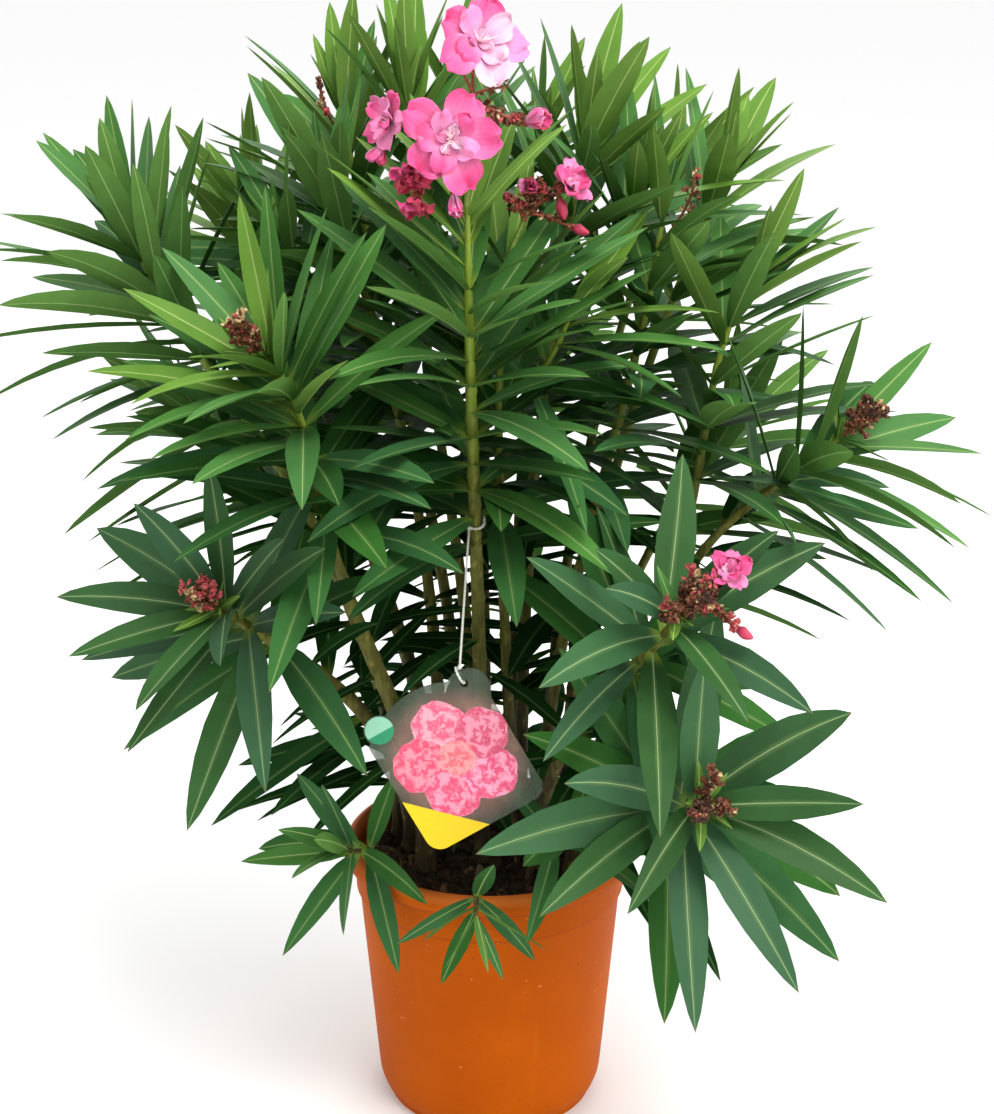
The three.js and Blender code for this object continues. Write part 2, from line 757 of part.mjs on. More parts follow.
for (const stem of STEMS) {
  const path = pathBetween(soilPoint(stem.foot), UP, vec(stem.tip), vec(stem.aim).normalize());
  const endRadius = stem.base * TAPER.stem;
  addLimb(`stem_${stem.name}`, path, 0, stem.bare, stem.base, endRadius, LIMB.flare);
  masses.push({ mass: stem, path, from: stem.bare + gapShare(path), radius: endRadius });
}
for (const stem of FORKS) {
  const aim = vec(stem.aim).normalize();
  const path = pathBetween(soilPoint(stem.foot), UP, vec(stem.fork), aim);
  const endRadius = stem.base * TAPER.forked;
  addLimb(`stem_${stem.name}`, path, 0, 1, stem.base, endRadius, LIMB.flare);
  const tips = stem.boughs.map((b) => vec(b.tip));
  const apart = tips[1].clone().sub(tips[0]).projectOnPlane(aim).normalize();
  stem.boughs.forEach((bough, i) => {
    const startRadius = stem.base * TAPER.boughFoot;
    const tipRadius = startRadius * TAPER.bough;
    const start = vec(stem.fork)
      .addScaledVector(aim, 2 * GAP)
      .addScaledVector(apart, (i === 0 ? -1 : 1) * (startRadius + GAP));
    const boughPath = pathBetween(start, aim, tips[i], vec(bough.aim).normalize());
    addLimb(`bough_${bough.name}`, boughPath, 0, bough.bare, startRadius, tipRadius, 1);
    const from = bough.bare + gapShare(boughPath);
    masses.push({ mass: bough, path: boughPath, from, radius: tipRadius });
  });
}
for (const shoot of LOW_SHOOTS) {
  const path = pathBetween(soilPoint(shoot.foot), UP, vec(shoot.tip), vec(shoot.aim).normalize());
  masses.push({ mass: shoot, path, from: 0, radius: shoot.base });
}

// The tag hangs in front of the centre stem, and the leaves keep clear of it.
const tag = named("tag", geometryOf(tagSolid()), looks.tag);
const tagHolder = new THREE.Group();
tagHolder.position.set(...TAG.centre);
tagHolder.rotation.set(degrees(90 + TAG.lean), 0, 0);
tag.rotation.z = degrees(TAG.turn);
tagHolder.add(tag);
root.add(tagHolder);
root.updateMatrixWorld(true);
place(solidOf(tag.geometry.clone().applyMatrix4(tag.matrixWorld)), "tag");
const centrePath = masses.find((m) => m.mass.name === "front_centre").path;
const line = stringSolid(centrePath, tag);
place(line, "tag_string");
root.add(named("tag_string", geometryOf(line), looks.string));

// Trusses stand on the tips of their masses.
for (const truss of TRUSSES) {
  const { path } = masses.find((m) => m.mass.name === truss.on);
  const along = path.getTangent(1);
  const solid = trussSolid(truss, path.getPoint(1).addScaledVector(along, GAP), along);
  place(solid, `flowers_${truss.name}`);
  plant.add(named(`flowers_${truss.name}`, geometryOf(solid), looks.bloom));
}

// Every twig is in place before the first leaf, so that leaves keep clear of all of them.
const twigsOf = masses.map((mass, i) => massTwigs(mass, i + 1));
masses.forEach(({ mass }, i) => {
  const solid = massSolid(mass, twigsOf[i], i + 1);
  plant.add(named(`foliage_${mass.name}`, geometryOf(solid), looks.leaf));
});

export default root;
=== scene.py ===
"""Looks of a potted oleander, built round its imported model.

Lengths are millimetres unless a name says otherwise, and become metres when a mesh is made. Z is up,
-Y is the front, and the origin is the middle of the pot's underside.
"""

import math

import bpy
import numpy as np
from mathutils import Euler, Matrix, Vector
from mathutils.bvhtree import BVHTree


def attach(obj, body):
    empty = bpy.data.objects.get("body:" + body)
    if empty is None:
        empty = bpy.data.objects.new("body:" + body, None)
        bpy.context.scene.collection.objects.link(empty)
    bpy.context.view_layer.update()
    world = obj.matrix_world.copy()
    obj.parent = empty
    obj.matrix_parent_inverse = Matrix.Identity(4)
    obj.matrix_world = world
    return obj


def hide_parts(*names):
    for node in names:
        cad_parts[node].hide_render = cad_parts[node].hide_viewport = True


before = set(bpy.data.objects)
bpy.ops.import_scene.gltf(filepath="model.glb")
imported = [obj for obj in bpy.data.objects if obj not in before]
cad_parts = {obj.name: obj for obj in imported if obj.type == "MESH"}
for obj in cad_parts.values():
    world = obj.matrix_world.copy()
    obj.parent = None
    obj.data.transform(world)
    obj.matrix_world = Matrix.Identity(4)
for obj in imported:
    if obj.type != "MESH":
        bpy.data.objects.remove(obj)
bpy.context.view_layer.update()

MM = 0.001
UP = np.array([0.0, 0.0, 1.0])

# ---------------------------------------------------------------- sizes of the pot, tag and string

SOIL_LEVEL = 210.3
POT_OUTLINE = [  # radius, height and the corner's own rounding
    (85, 0, 1), (85, 6, 1), (88, 6, 1), (92.3, 16, 8), (93.5, 26, 10), (107.4, 186, 0.5),
    (110, 187.6, 1.2), (110.4, 213, 2.5), (118, 213, 1.5), (120, 220.6, 5), (116.8, 227.6, 4),
    (112, 230, 3), (110.5, 229, 2), (108, 224, 3), (107.4, 209, 3), (104.8, 186, 4), (88.9, 24, 8),
    (82.9, 4, 3),
]
POT_FLOOR = 4
SOIL_OUTLINE = [(80, 4.3), (87, 22.5), (102.8, 186), (103.4, 204)]
TAG = {
    "left": -48, "right": 52, "bottom": -54, "shoulder": 44, "crown": 66, "corner": 12,
    "thickness": 1, "turn": 30, "lean": -6, "centre": (-27, -132, 350),
    "ear": (40, 46, 17), "tab": (-34, 52, 12), "hole": (40, 52, 3),
}
STRING = {"strand": 0.5, "apart": 0.52, "knot": 512, "loop": 7, "lead": 0.75, "ring": 6.5, "turns": 27}

# ---------------------------------------------------------------- the plant's limbs and masses

BEND = {"out": 0.4, "into": 0.32}
TAPER = {"stem": 0.66, "forked": 0.8, "bough_foot": 0.58, "bough": 0.86}
TIP_RADIUS = 1.6
FLARE = {"factor": 1.4, "share": 0.1}


def mass(tip, aim, whorls, leaf, bare=0.0, foot=None, base=2.4, **more):
    """What one limb and its mass of leaves are made from."""
    return {"tip": tip, "aim": aim, "whorls": whorls, "leaf": leaf, "bare": bare, "foot": foot,
            "base": base, **more}


STEMS = {
    "front_centre": mass((-15, -90, 770), (0, -0.05, 1), 8, 158, 0.44, (-6, -8), 6.2,
                         least_opening=42, taper=0.8),
    "left_low": mass((-200, -130, 478), (-0.4, -0.66, 0.64), 6, 142, 0.74, (-64, 12), 7,
                     spread=1.2, spent="pink", slim=0.6, palette="glaucous"),
    "second": mass((15, -30, 715), (0.12, -0.06, 1), 6, 155, 0.46, (18, 16), 5.6, side=1,
                   least_opening=34),
    "left_top": mass((-126, 30, 762), (-0.35, -0.05, 0.93), 7, 155, 0.5, (-40, 48), 6, side=-1,
                     palette="calm"),
    "top_left": mass((-115, 100, 805), (-0.16, 0.1, 0.98), 7, 152, 0.52, (-22, 70), 5.8),
    "top_centre": mass((-62, 60, 822), (0.02, 0, 1), 7, 152, 0.52, (-8, 34), 5.8),
    "top_right": mass((75, 60, 790), (0.2, 0, 0.98), 6, 155, 0.52, (26, 52), 5.8, side=1),
    "right_inner": mass((132, 20, 740), (0.1, -0.05, 0.99), 7, 146, 0.54, (42, 14), 5.6, filled=0.35),
    "right_top": mass((182, 75, 752), (0.4, 0.05, 0.92), 7, 150, 0.54, (62, 32), 5.8, filled=0.35),
    "left_mid": mass((-225, 60, 565), (-0.75, 0.1, 0.65), 6, 150, 0.52, (-76, 40), 5.6,
                     palette="shade"),
    "right_front": mass((135, -190, 495), (0.17, -0.66, 0.71), 6, 146, 0.64, (38, -26), 5.8,
                        spread=1.15, spent="brown", palette="glaucous"),
    "right_low": mass((154, -206, 352), (0.3, -0.78, 0.52), 6, 160, 0.68, (66, -34), 5.8,
                      spread=1.25, spent="brown", palette="glaucous"),
    "back_centre": mass((-25, 205, 790), (-0.1, 0.35, 0.93), 6, 152, 0.5, (-4, 82), 5.8, side=1),
    "back_low": mass((35, 265, 560), (0.1, 0.75, 0.6), 6, 150, 0.5, (20, 84), 5.6, palette="shade"),
    "back_right": mass((150, 190, 735), (0.35, 0.4, 0.85), 6, 152, 0.52, (48, 72), 5.6, side=-1,
                       filled=0.5),
    "back_right_low": mass((215, 190, 520), (0.7, 0.55, 0.5), 6, 150, 0.5, (74, 52), 5.6,
                           palette="shade", filled=0.1),
}
FORKS = {
    "left": {
        "foot": (-52, -22), "fork": (-112, -62, 470), "aim": (-0.28, -0.12, 0.95), "base": 7.2,
        "boughs": {
            "left_front": mass((-160, -118, 665), (-0.5, -0.38, 0.78), 7, 158, 0.12, spent="rust",
                               slim=0.35),
            "left_far": mass((-270, 0, 730), (-0.3, 0.02, 0.95), 7, 155, 0.34, palette="calm"),
        },
    },
    "right": {
        "foot": (74, -4), "fork": (142, -12, 440), "aim": (0.34, 0, 0.94), "base": 6.8,
        "boughs": {
            "right_upper": mass((200, 5, 692), (0.5, 0, 0.87), 7, 155, 0.12, filled=0.35),
            "right_far": mass((268, -30, 578), (0.72, -0.05, 0.69), 7, 152, 0.4, spread=0.92,
                              spent="brown", filled=0.3, slim=0.5, palette="calm"),
        },
    },
    "back_left": {
        "foot": (-46, 74), "fork": (-100, 130, 430), "aim": (-0.3, 0.3, 0.9), "base": 6.8,
        "boughs": {
            "back_left_top": mass((-195, 150, 705), (-0.4, 0.2, 0.9), 7, 152, 0.14),
            "back_left_low": mass((-140, 245, 545), (-0.5, 0.65, 0.58), 6, 150, 0.18,
                                  palette="shade"),
        },
    },
}
LOW_SHOOTS = {
    "left_rim": mass((-112, -88, 258), (-0.5, -0.6, 0.5), 4, 92, foot=(-72, -30), leafy=0.35,
                     palette="low"),
    "front_rim": mass((-10, -158, 236), (0, -0.6, -0.8), 3, 66, foot=(-6, -62), base=2, leafy=0.18,
                      palette="low", least_opening=34),
    "right_rim": mass((66, -108, 284), (0.35, -0.5, 0.6), 3, 100, foot=(30, -62), leafy=0.35,
                      palette="low"),
}

# How leaves stand on a twig: the source's rule.
LEAF = {"aspect": 0.158, "broad": 0.2, "sag": 0.17}
WHORL = {
    "leaves": 3, "top_opening": 18, "low_opening": 78, "opening_power": 0.65, "spacing_power": 1.25,
    "tip_share": 0.74,
}
SCATTER = {"whorl": 0.5, "leaf": 0.3, "opening": 16, "shortest": 0.9, "length": 0.18,
           "least_sag": 0.4, "sag": 1.3}
LEAFY = {"near_tip": 0.03, "reach": 0.9, "full_age": 2.2}
OLD_HEADS = {"right_inner": (22, -20, 34), "top_left": (-16, -14, 26)}  # thin ones, from a mass's tip
SPENT = {"stalks": 3, "tilt": 16, "spread": 14, "length": 30, "extra": 14}
SIDE_TWIG = {"from": 0.5, "length": 0.42, "tilt": 42, "forward": 0.4, "rise": 0.6, "radius": 2.4,
             "leaf_from": 0.3, "whorls": 3, "leaf_share": 0.86}
TURNS = (0, 11, -11, 22, -22, 34, -34)  # degrees that a leaf may turn aside to stay clear
VARIES = {  # how far leaves differ, and the share of those with no room that is left out
    "aspect": 0.014, "swing": 0.035, "twist": 0.22, "least_fold": 0.2, "fold": 0.16, "age": 0.7,
    "left_out": 0.4,
}
TUFT = {"whorls": 3, "gap": 0.006, "longest": 0.5, "shortest": 0.18, "opening": 9, "scatter": 0.6,
        "sag": 0.02, "spent_size": 0.55, "spent_aside": 34}  # the young leaves at a tip
INNER = {"leaf": 150, "gap": 27, "lowest": 262, "opening": 82, "spread": 36, "shortest": 0.62,
         "length": 0.36, "sag": 0.2}  # old leaves on the limbs below their masses

# Each bloom: where it is from its limb's tip, its radius, the way it faces and its kind. Each dry
# stalk: where it starts and ends, and half as many stubs as it carries.
TRUSSES = {
    "main": {
        "on": "front_centre", "fork": (4, -5, 70), "radius": 2.2,
        "dry": [((4, -5, 66), (34, -12, 60), 26), ((4, -5, 72), (-14, -8, 108), 2),
                ((4, -5, 72), (26, -10, 84), 3)],
        "blooms": [((10, -7, 115), 33, (0.35, -0.75, 0.35), "pale"),
                   ((-12, -30, 50), 34, (0, -0.95, 0.2), "hot"),
                   ((-55, -8, 60), 22, (-0.7, -0.6, 0.2), "loose"),
                   ((-40, -16, 20), 17, (-0.3, -0.8, -0.3), "deep"),
                   ((-37, -18, 0), 16, (-0.1, -0.5, -0.8), "deep"),
                   ((-62, -10, 38), 9, (-0.4, -0.4, -0.8), "half"),
                   ((-9, -30, 8), 9, (0.1, -0.5, -0.85), "closed"),
                   ((46, -12, 60), 12, (0.8, -0.4, 0.3), "half")],
    },
    "second": {
        "on": "second", "fork": (14, -6, 38), "radius": 2,
        "dry": [((10, -4, 26), (16, -12, 58), 30), ((10, -5, 30), (2, -12, 46), 16),
                ((12, -6, 34), (38, -16, 60), 18), ((12, -6, 30), (44, -18, 30), 7)],
        "blooms": [((48, -16, 62), 20, (0.6, -0.5, 0.6), "cup"),
                   ((50, -14, 26), 8, (0.8, -0.4, -0.2), "bud"),
                   ((38, -16, 44), 9, (0.2, -0.4, -0.9), "bud"),
                   ((16, -12, 56), 9, (-0.2, -0.8, 0.4), "half")],
    },
    "right": {
        "on": "right_front", "fork": (22, -16, 16), "radius": 2,
        "dry": [((14, -10, 8), (22, -26, 36), 32), ((18, -14, 12), (36, -22, 2), 24),
                ((14, -10, 8), (8, -22, 20), 10)],
        "blooms": [((34, -22, 42), 18, (0.1, -0.7, 0.7), "cup"),
                   ((44, -16, -8), 8, (0.7, -0.5, -0.3), "bud")],
    },
}
VIEWER = np.array([6.0, -1798.0, 1107.0])  # where the flowers and the tag are seen from
SHAFT = 190  # how far towards it no leaf hides them

# ---------------------------------------------------------------- arrays and skins


def vec(values):
    """A point or direction as floats."""
    return np.array(values, float)


def unit(v):
    """Vectors divided by their lengths."""
    return v / np.linalg.norm(v, axis=-1, keepdims=True)


def square_to(axis, level=UP):
    """Two directions at right angles to axes and to each other, the first square to level too."""
    first = unit(np.cross(level, axis))
    return first, np.cross(axis, first)


def lehmer(seed):
    """The source's own stream of numbers from 0 to 1: each state is 16807 times the last."""
    state = seed * 7919 + 17
    while True:
        state = state * 16807 % 2147483647
        yield state / 2147483647


class Skin:
    """Closed surfaces: points with their marks, and faces of four or three corners with their slots."""

    def __init__(self, points, quads, tris, quad_slots, tri_slots, marks):
        self.points = points
        self.quads = quads
        self.tris = tris
        self.quad_slots = quad_slots
        self.tri_slots = tri_slots
        self.marks = marks


def with_poles(rings, first, last):
    """Flattens a batch of rings with one point before them and one after them."""
    items = len(rings)
    return np.concatenate([first[:, None], rings.reshape(items, -1, 3), last[:, None]], axis=1)


def loft(rings, first, last, slots=0, marks=None):
    """Skins over a batch of rings (items, stations, around, 3) that close in a pole at both ends.

    Rings run anticlockwise seen from the last pole, so faces point outwards. Slots is the material of
    each strip round a ring, and marks are three rings, first and last values of the same form.
    """
    items, stations, around, _ = rings.shape
    points = with_poles(rings, first, last)
    stride = points.shape[1]
    k = np.arange(around)
    following = (k + 1) % around
    row = 1 + around * np.arange(stations - 1)[:, None]
    quads = np.stack([row + k, row + following, row + around + following, row + around + k], -1)
    foot = np.stack([0 * k, 1 + following, 1 + k], -1)
    last_row = 1 + around * (stations - 1)
    head = np.stack([0 * k + stride - 1, last_row + k, last_row + following], -1)
    shift = (stride * np.arange(items))[:, None, None]
    strip = np.broadcast_to(np.asarray(slots), (around,))
    marked = np.zeros_like(points) if marks is None else with_poles(*marks)
    return Skin(
        points.reshape(-1, 3),
        (quads.reshape(1, -1, 4) + shift).reshape(-1, 4),
        (np.concatenate([foot, head])[None] + shift).reshape(-1, 3),
        np.tile(strip, items * (stations - 1)),
        np.tile(strip, items * 2),
        marked.reshape(-1, 3),
    )


def tube(centres, radii, around=8, level=(1, 0, 0), slots=0, marks=None):
    """A round skin along a line of centres, with a radius to each centre or to each point round it."""
    front, right = square_to(unit(np.gradient(centres, axis=0)), level)
    angle = 2 * np.pi * np.arange(around) / around
    outward = right[:, None] * np.cos(angle)[:, None] - front[:, None] * np.sin(angle)[:, None]
    if np.ndim(radii) < 2:
        radii = np.broadcast_to(np.asarray(radii, float), (around, len(centres))).T
    rings = centres[:, None] + outward * radii[..., None]
    return loft(rings[None], centres[:1], centres[-1:], slots, marks)


def in_scene(name, data):
    """A new object of the scene."""
    item = bpy.data.objects.new(name, data)
    bpy.context.scene.collection.objects.link(item)
    return item


def make_piece(name, skins, looks, stands_for, sharp=45):
    """One mesh object of the plant or its pot from skins, in place, riding on the only body."""
    counts = np.cumsum([0] + [len(s.points) for s in skins])
    points = np.concatenate([s.points for s in skins]) * MM
    quads = np.concatenate([s.quads + n for s, n in zip(skins, counts)])
    tris = np.concatenate([s.tris + n for s, n in zip(skins, counts)])
    corners = np.concatenate([quads.ravel(), tris.ravel()])
    starts = np.concatenate([4 * np.arange(len(quads)), 4 * len(quads) + 3 * np.arange(len(tris))])
    slots = np.concatenate([s.quad_slots for s in skins] + [s.tri_slots for s in skins])
    mesh = bpy.data.meshes.new(name)
    mesh.vertices.add(len(points))
    mesh.vertices.foreach_set("co", points.ravel())
    mesh.loops.add(len(corners))
    mesh.loops.foreach_set("vertex_index", corners.astype(np.int32))
    mesh.polygons.add(len(starts))
    mesh.polygons.foreach_set("loop_start", starts.astype(np.int32))
    mesh.polygons.foreach_set("material_index", slots.astype(np.int32))
    mesh.polygons.foreach_set("use_smooth", np.ones(len(starts), bool))
    mesh.update(calc_edges=True)
    mesh.validate()
    marks = np.concatenate([s.marks for s in skins])
    mesh.attributes.new("mark", "FLOAT_VECTOR", "POINT").data.foreach_set("vector", marks.ravel())
    mesh.set_sharp_from_angle(angle=math.radians(sharp))
    return dress(mesh, looks, stands_for)


def dress(mesh, looks, stands_for):
    """Puts a finished mesh in the scene with its materials, in place of the nodes it stands for."""
    for look in looks:
        mesh.materials.append(look.material)
    piece = in_scene(mesh.name, mesh)
    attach(piece, "root")
    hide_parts(*stands_for)
    return piece


# ---------------------------------------------------------------- materials


def math_node(operation, reflected=False):
    """A method that adds a Math node; a reflected one takes its two terms the other way round."""

    def method(self, *others):
        terms = (*others, self) if reflected else (self, *others)
        return self.look.node("ShaderNodeMath", {"operation": operation}, dict(enumerate(terms)))

    return method


class Value:
    """A number that varies over a surface: arithmetic on it adds Math nodes."""

    __add__ = math_node("ADD")
    __radd__ = math_node("ADD", reflected=True)
    __sub__ = math_node("SUBTRACT")
    __rsub__ = math_node("SUBTRACT", reflected=True)
    __mul__ = math_node("MULTIPLY")
    __rmul__ = math_node("MULTIPLY", reflected=True)
    __pow__ = math_node("POWER")
    __abs__ = math_node("ABSOLUTE")
    sine = math_node("SINE")
    floor = math_node("FLOOR")
    root = math_node("SQRT")
    heading = math_node("ARCTAN2")

    def __init__(self, look, socket):
        self.look = look
        self.socket = socket

    def between(self, low, high):
        """0 where this is at or below low, 1 at or above high, and smooth from one to the other."""
        return self.look.node(
            "ShaderNodeMapRange",
            {"interpolation_type": "SMOOTHSTEP"},
            {"Value": self, "From Min": low, "From Max": high},
        )


class Look:
    """One material: its constants, and the nodes that vary it over the surface."""

    def __init__(self, name, **constants):
        self.material = bpy.data.materials.new(name)
        self.material.use_nodes = True
        self.tree = self.material.node_tree
        self.skin = self.tree.nodes["Principled BSDF"]
        for socket, value in constants.items():
            self.skin.inputs[socket.replace("_", " ")].default_value = value
        self.place = self.node("ShaderNodeTexCoord", {}, {}, "Object")

    def node(self, kind, settings, inputs, output=0):
        """Adds one node: its settings first, then its sockets' values or links."""
        node = self.tree.nodes.new(kind)
        for key, value in settings.items():
            setattr(node, key, value)
        for key, value in inputs.items():
            self.feed(node.inputs[key], value)
        return Value(self, node.outputs[output])

    def feed(self, socket, value):
        """Links a varying value to a socket, or sets a plain one on it."""
        if isinstance(value, Value):
            self.tree.links.new(value.socket, socket)
        else:
            socket.default_value = value

    def noise(self, scale, detail=3, roughness=0.55, stretch=None):
        """Cloudy noise from 0 to 1 with so many features to a metre."""
        place = self.place
        if stretch:
            place = self.node("ShaderNodeMapping", {}, {"Vector": place, "Scale": stretch})
        inputs = {"Vector": place, "Scale": scale, "Detail": detail, "Roughness": roughness}
        return self.node("ShaderNodeTexNoise", {}, inputs, "Fac")

    def part(self, vector, axis):
        """One of a vector's three numbers."""
        return self.node("ShaderNodeSeparateXYZ", {}, {"Vector": vector}, axis)

    def height(self):
        """The height above the pot's underside, in metres."""
        return self.part(self.place, "Z")

    def mark(self, axis):
        """One of the three numbers that the mesh carries for each point."""
        mark = self.node("ShaderNodeAttribute", {"attribute_name": "mark"}, {}, "Vector")
        return self.part(mark, axis)

    def mix(self, share, first, second):
        """One colour blended into another by a share from 0 to 1."""
        return self.node("ShaderNodeMix", {"data_type": "RGBA"}, {0: share, 6: first, 7: second}, 2)

    def colour(self, value):
        self.feed(self.skin.inputs["Base Color"], value)

    def roughness(self, value):
        self.feed(self.skin.inputs["Roughness"], value)

    def relief(self, height, depth, strength=1.0):
        """Raises the surface by a height from 0 to 1, where 1 is so many metres."""
        inputs = {"Height": height, "Distance": depth, "Strength": strength}
        self.feed(self.skin.inputs["Normal"], self.node("ShaderNodeBump", {}, inputs))


def paint(code, dim=1.0):
    """A colour from its six hexadecimal digits, made linear, and dimmed or brightened."""
    parts = [int(code[i : i + 2], 16) / 255 for i in (0, 2, 4)]
    linear = [c / 12.92 if c <= 0.04045 else ((c + 0.055) / 1.055) ** 2.4 for c in parts]
    return (*(c * dim for c in linear), 1.0)


def pot_plastic():
    """Orange moulded plastic: faint cloudy fading, fine orange peel, specks and rubbed marks.

    Its rolled rim is painted paler along its crest as a highlight, with a little wear, and painted
    shade darkens the corners under the rim and under the band.
    """
    look = Look("pot_plastic", Roughness=0.4, Specular_IOR_Level=0.05)
    faded = look.noise(9, 4).between(0.35, 0.75)
    body = look.mix(faded, paint("a84a00"), paint("b65400"))
    streaks = look.noise(60, 2, stretch=(1, 1, 0.08)).between(0.6, 0.85)
    body = look.mix(streaks * 0.25, body, paint("d06a10"))
    specks = look.noise(260, 1).between(0.745, 0.77)
    body = look.mix(specks * 0.8, body, paint("7c3c14"))
    pale_specks = look.noise(190, 1, stretch=(1, 1.2, 1.1)).between(0.77, 0.79)
    body = look.mix(pale_specks * 0.3, body, paint("f0b080"))
    height = look.height()
    # Painted highlight: the rolled rim's crest is paler, as if it caught the light, and a little worn.
    body = look.mix(height.between(0.2195, 0.2265) * 0.45, body, paint("d87c3c"))
    # Painted shade: darker bands in the corners under the band's step and under the rim.
    for low, high in ((0.1862, 0.1878), (0.2115, 0.2145)):
        under_ledge_shade = height.between(low - 0.0015, low) * (1 - height.between(high, high + 0.0015))
        body = look.mix(under_ledge_shade * 0.6, body, paint("8a3a06"))
    look.colour(body)
    scuffs = look.noise(35, 5, 0.7)
    look.roughness(0.45 + scuffs * 0.2)
    look.relief(look.noise(420, 2) * 0.5 + scuffs * 0.5, 0.0004, 0.35)
    return look


def peat():
    """Dark moist compost with paler fibre in it."""
    look = Look("peat", Roughness=0.95)
    coarse = look.noise(90, 6, 0.7)
    ground = look.mix(coarse.between(0.3, 0.62), paint("1a120c"), paint("4a3323"))
    look.colour(look.mix(look.noise(400, 3).between(0.6, 0.72) * 0.6, ground, paint("8a6a4c")))
    look.relief(look.noise(300, 6, 0.75), 0.003)
    return look


def crumb_look(name, colour):
    """A crumb of bark or peat."""
    look = Look(name, Roughness=0.95)
    look.colour(look.mix(look.noise(500, 3).between(0.3, 0.7), paint(colour, 0.6), paint(colour)))
    look.relief(look.noise(900, 4), 0.001)
    return look


def bark():
    """Stem skin: olive brown and cracked low down, olive above, and yellow green near the tips."""
    look = Look("bark", Roughness=0.62)
    height = look.height()
    cloud = look.noise(45, 3)
    ripe = (height + (cloud - 0.5) * 0.2).between(0.24, 0.42)
    green = (height + (cloud - 0.5) * 0.16).between(0.5, 0.66)
    fissures = look.noise(240, 5, 0.7, stretch=(1, 1, 0.16))
    old = look.mix(fissures.between(0.35, 0.65), paint("2e2412"), paint("5e5030"))
    olive = look.mix(fissures.between(0.35, 0.7), paint("54540e"), paint("76762a"))
    fresh = look.mix(cloud, paint("667e1c"), paint("92a838"))
    body = look.mix(green, look.mix(ripe, old, olive), fresh)
    scars = look.mark("X")
    look.colour(look.mix(scars * 0.5, body, paint("a8a254")))
    look.roughness(0.75 - green * 0.25)
    look.relief(fissures * (1 - green) + cloud * 0.2, 0.0012, 0.7)
    return look


def leaf_upper(name, colour, sheen, gloss, grey_reflection):
    """A leaf's upper face: satin green, its halves crossed by fine veins that slant to the tip.

    It is yellower at its foot and dry at the very tip. Leaves differ in tone, and some carry more of a
    painted blue grey reflection.
    """
    look = Look("leaf_" + name, Specular_IOR_Level=gloss)
    across = abs(look.mark("X"))
    along = look.mark("Y")
    veins = (along * 480 - across * 26).sine() * 0.5 + 0.5
    cloud = look.noise(28, 2)
    layered = look.mark("Z")
    tone = (layered * 0.5).floor()
    share = layered - tone * 2
    lift = cloud.between(0.25, 0.75) * 0.35 + tone * (0.65 / (TONES - 1))
    blade = look.mix(lift, paint(colour, 0.78), paint(sheen, 1.12))
    # Painted reflection: some leaves are tinted blue grey, as if they reflected the pale light.
    reflection_share = (tone * 2.4).sine().between(-0.6, 1)
    blade = look.mix(reflection_share * grey_reflection, blade, paint("406454"))
    blade = look.mix(veins * 0.06, blade, paint(sheen, 1.5))
    blade = look.mix((1 - across).between(0.75, 1.0) * 0.14, blade, paint("9db070"))
    blade = look.mix((1 - share.between(0.02, 0.13)) * 0.6, blade, paint("8fa63a"))
    look.colour(look.mix(share.between(0.965, 1.0) * 0.7, blade, paint("5a4a30")))
    look.roughness(0.4 + cloud * 0.12)
    look.relief(veins * 0.3 + look.noise(200, 3) * 0.7, 0.0004, 0.5)
    return look


def plain_green(name, colour, roughness):
    """A leaf's rib or its matt underside."""
    look = Look(name, Specular_IOR_Level=0.0)
    cloud = look.noise(60, 2)
    look.colour(look.mix(cloud, paint(colour, 0.8), paint(colour, 1.1)))
    look.roughness(roughness + cloud * 0.1)
    look.relief(look.noise(350, 2), 0.0002, 0.4)
    return look


def petal_look(name, heart, rim, blush):
    """A petal: deeper at its heart or rim, with fine veins along it and soft mottling."""
    look = Look("petal_" + name, Roughness=0.55, Sheen_Weight=0.15, Subsurface_Weight=0.12,
                Subsurface_Radius=(0.004, 0.002, 0.002))
    veins = (look.mark("X") * 26).sine() * 0.5 + 0.5
    cloud = look.noise(70, 3)
    body = look.mix(look.mark("Y").between(0.1, 0.85), paint(heart), paint(rim))
    body = look.mix(cloud.between(0.45, 0.7) * 0.5, body, paint(blush))
    look.colour(look.mix(veins * 0.06, body, paint(heart, 0.8)))
    look.relief(veins * 0.3 + look.noise(160, 4) * 0.7, 0.0008, 0.5)
    return look


def mottled(name, dark, light, scale, roughness=0.7):
    """A plain finish of two colours in small patches, with relief of the same grain."""
    look = Look(name, Roughness=roughness)
    patches = look.noise(scale, 4, 0.65)
    look.colour(look.mix(patches.between(0.35, 0.65), paint(dark), paint(light)))
    look.relief(patches, 0.0006)
    return look


# ---------------------------------------------------------------- paths


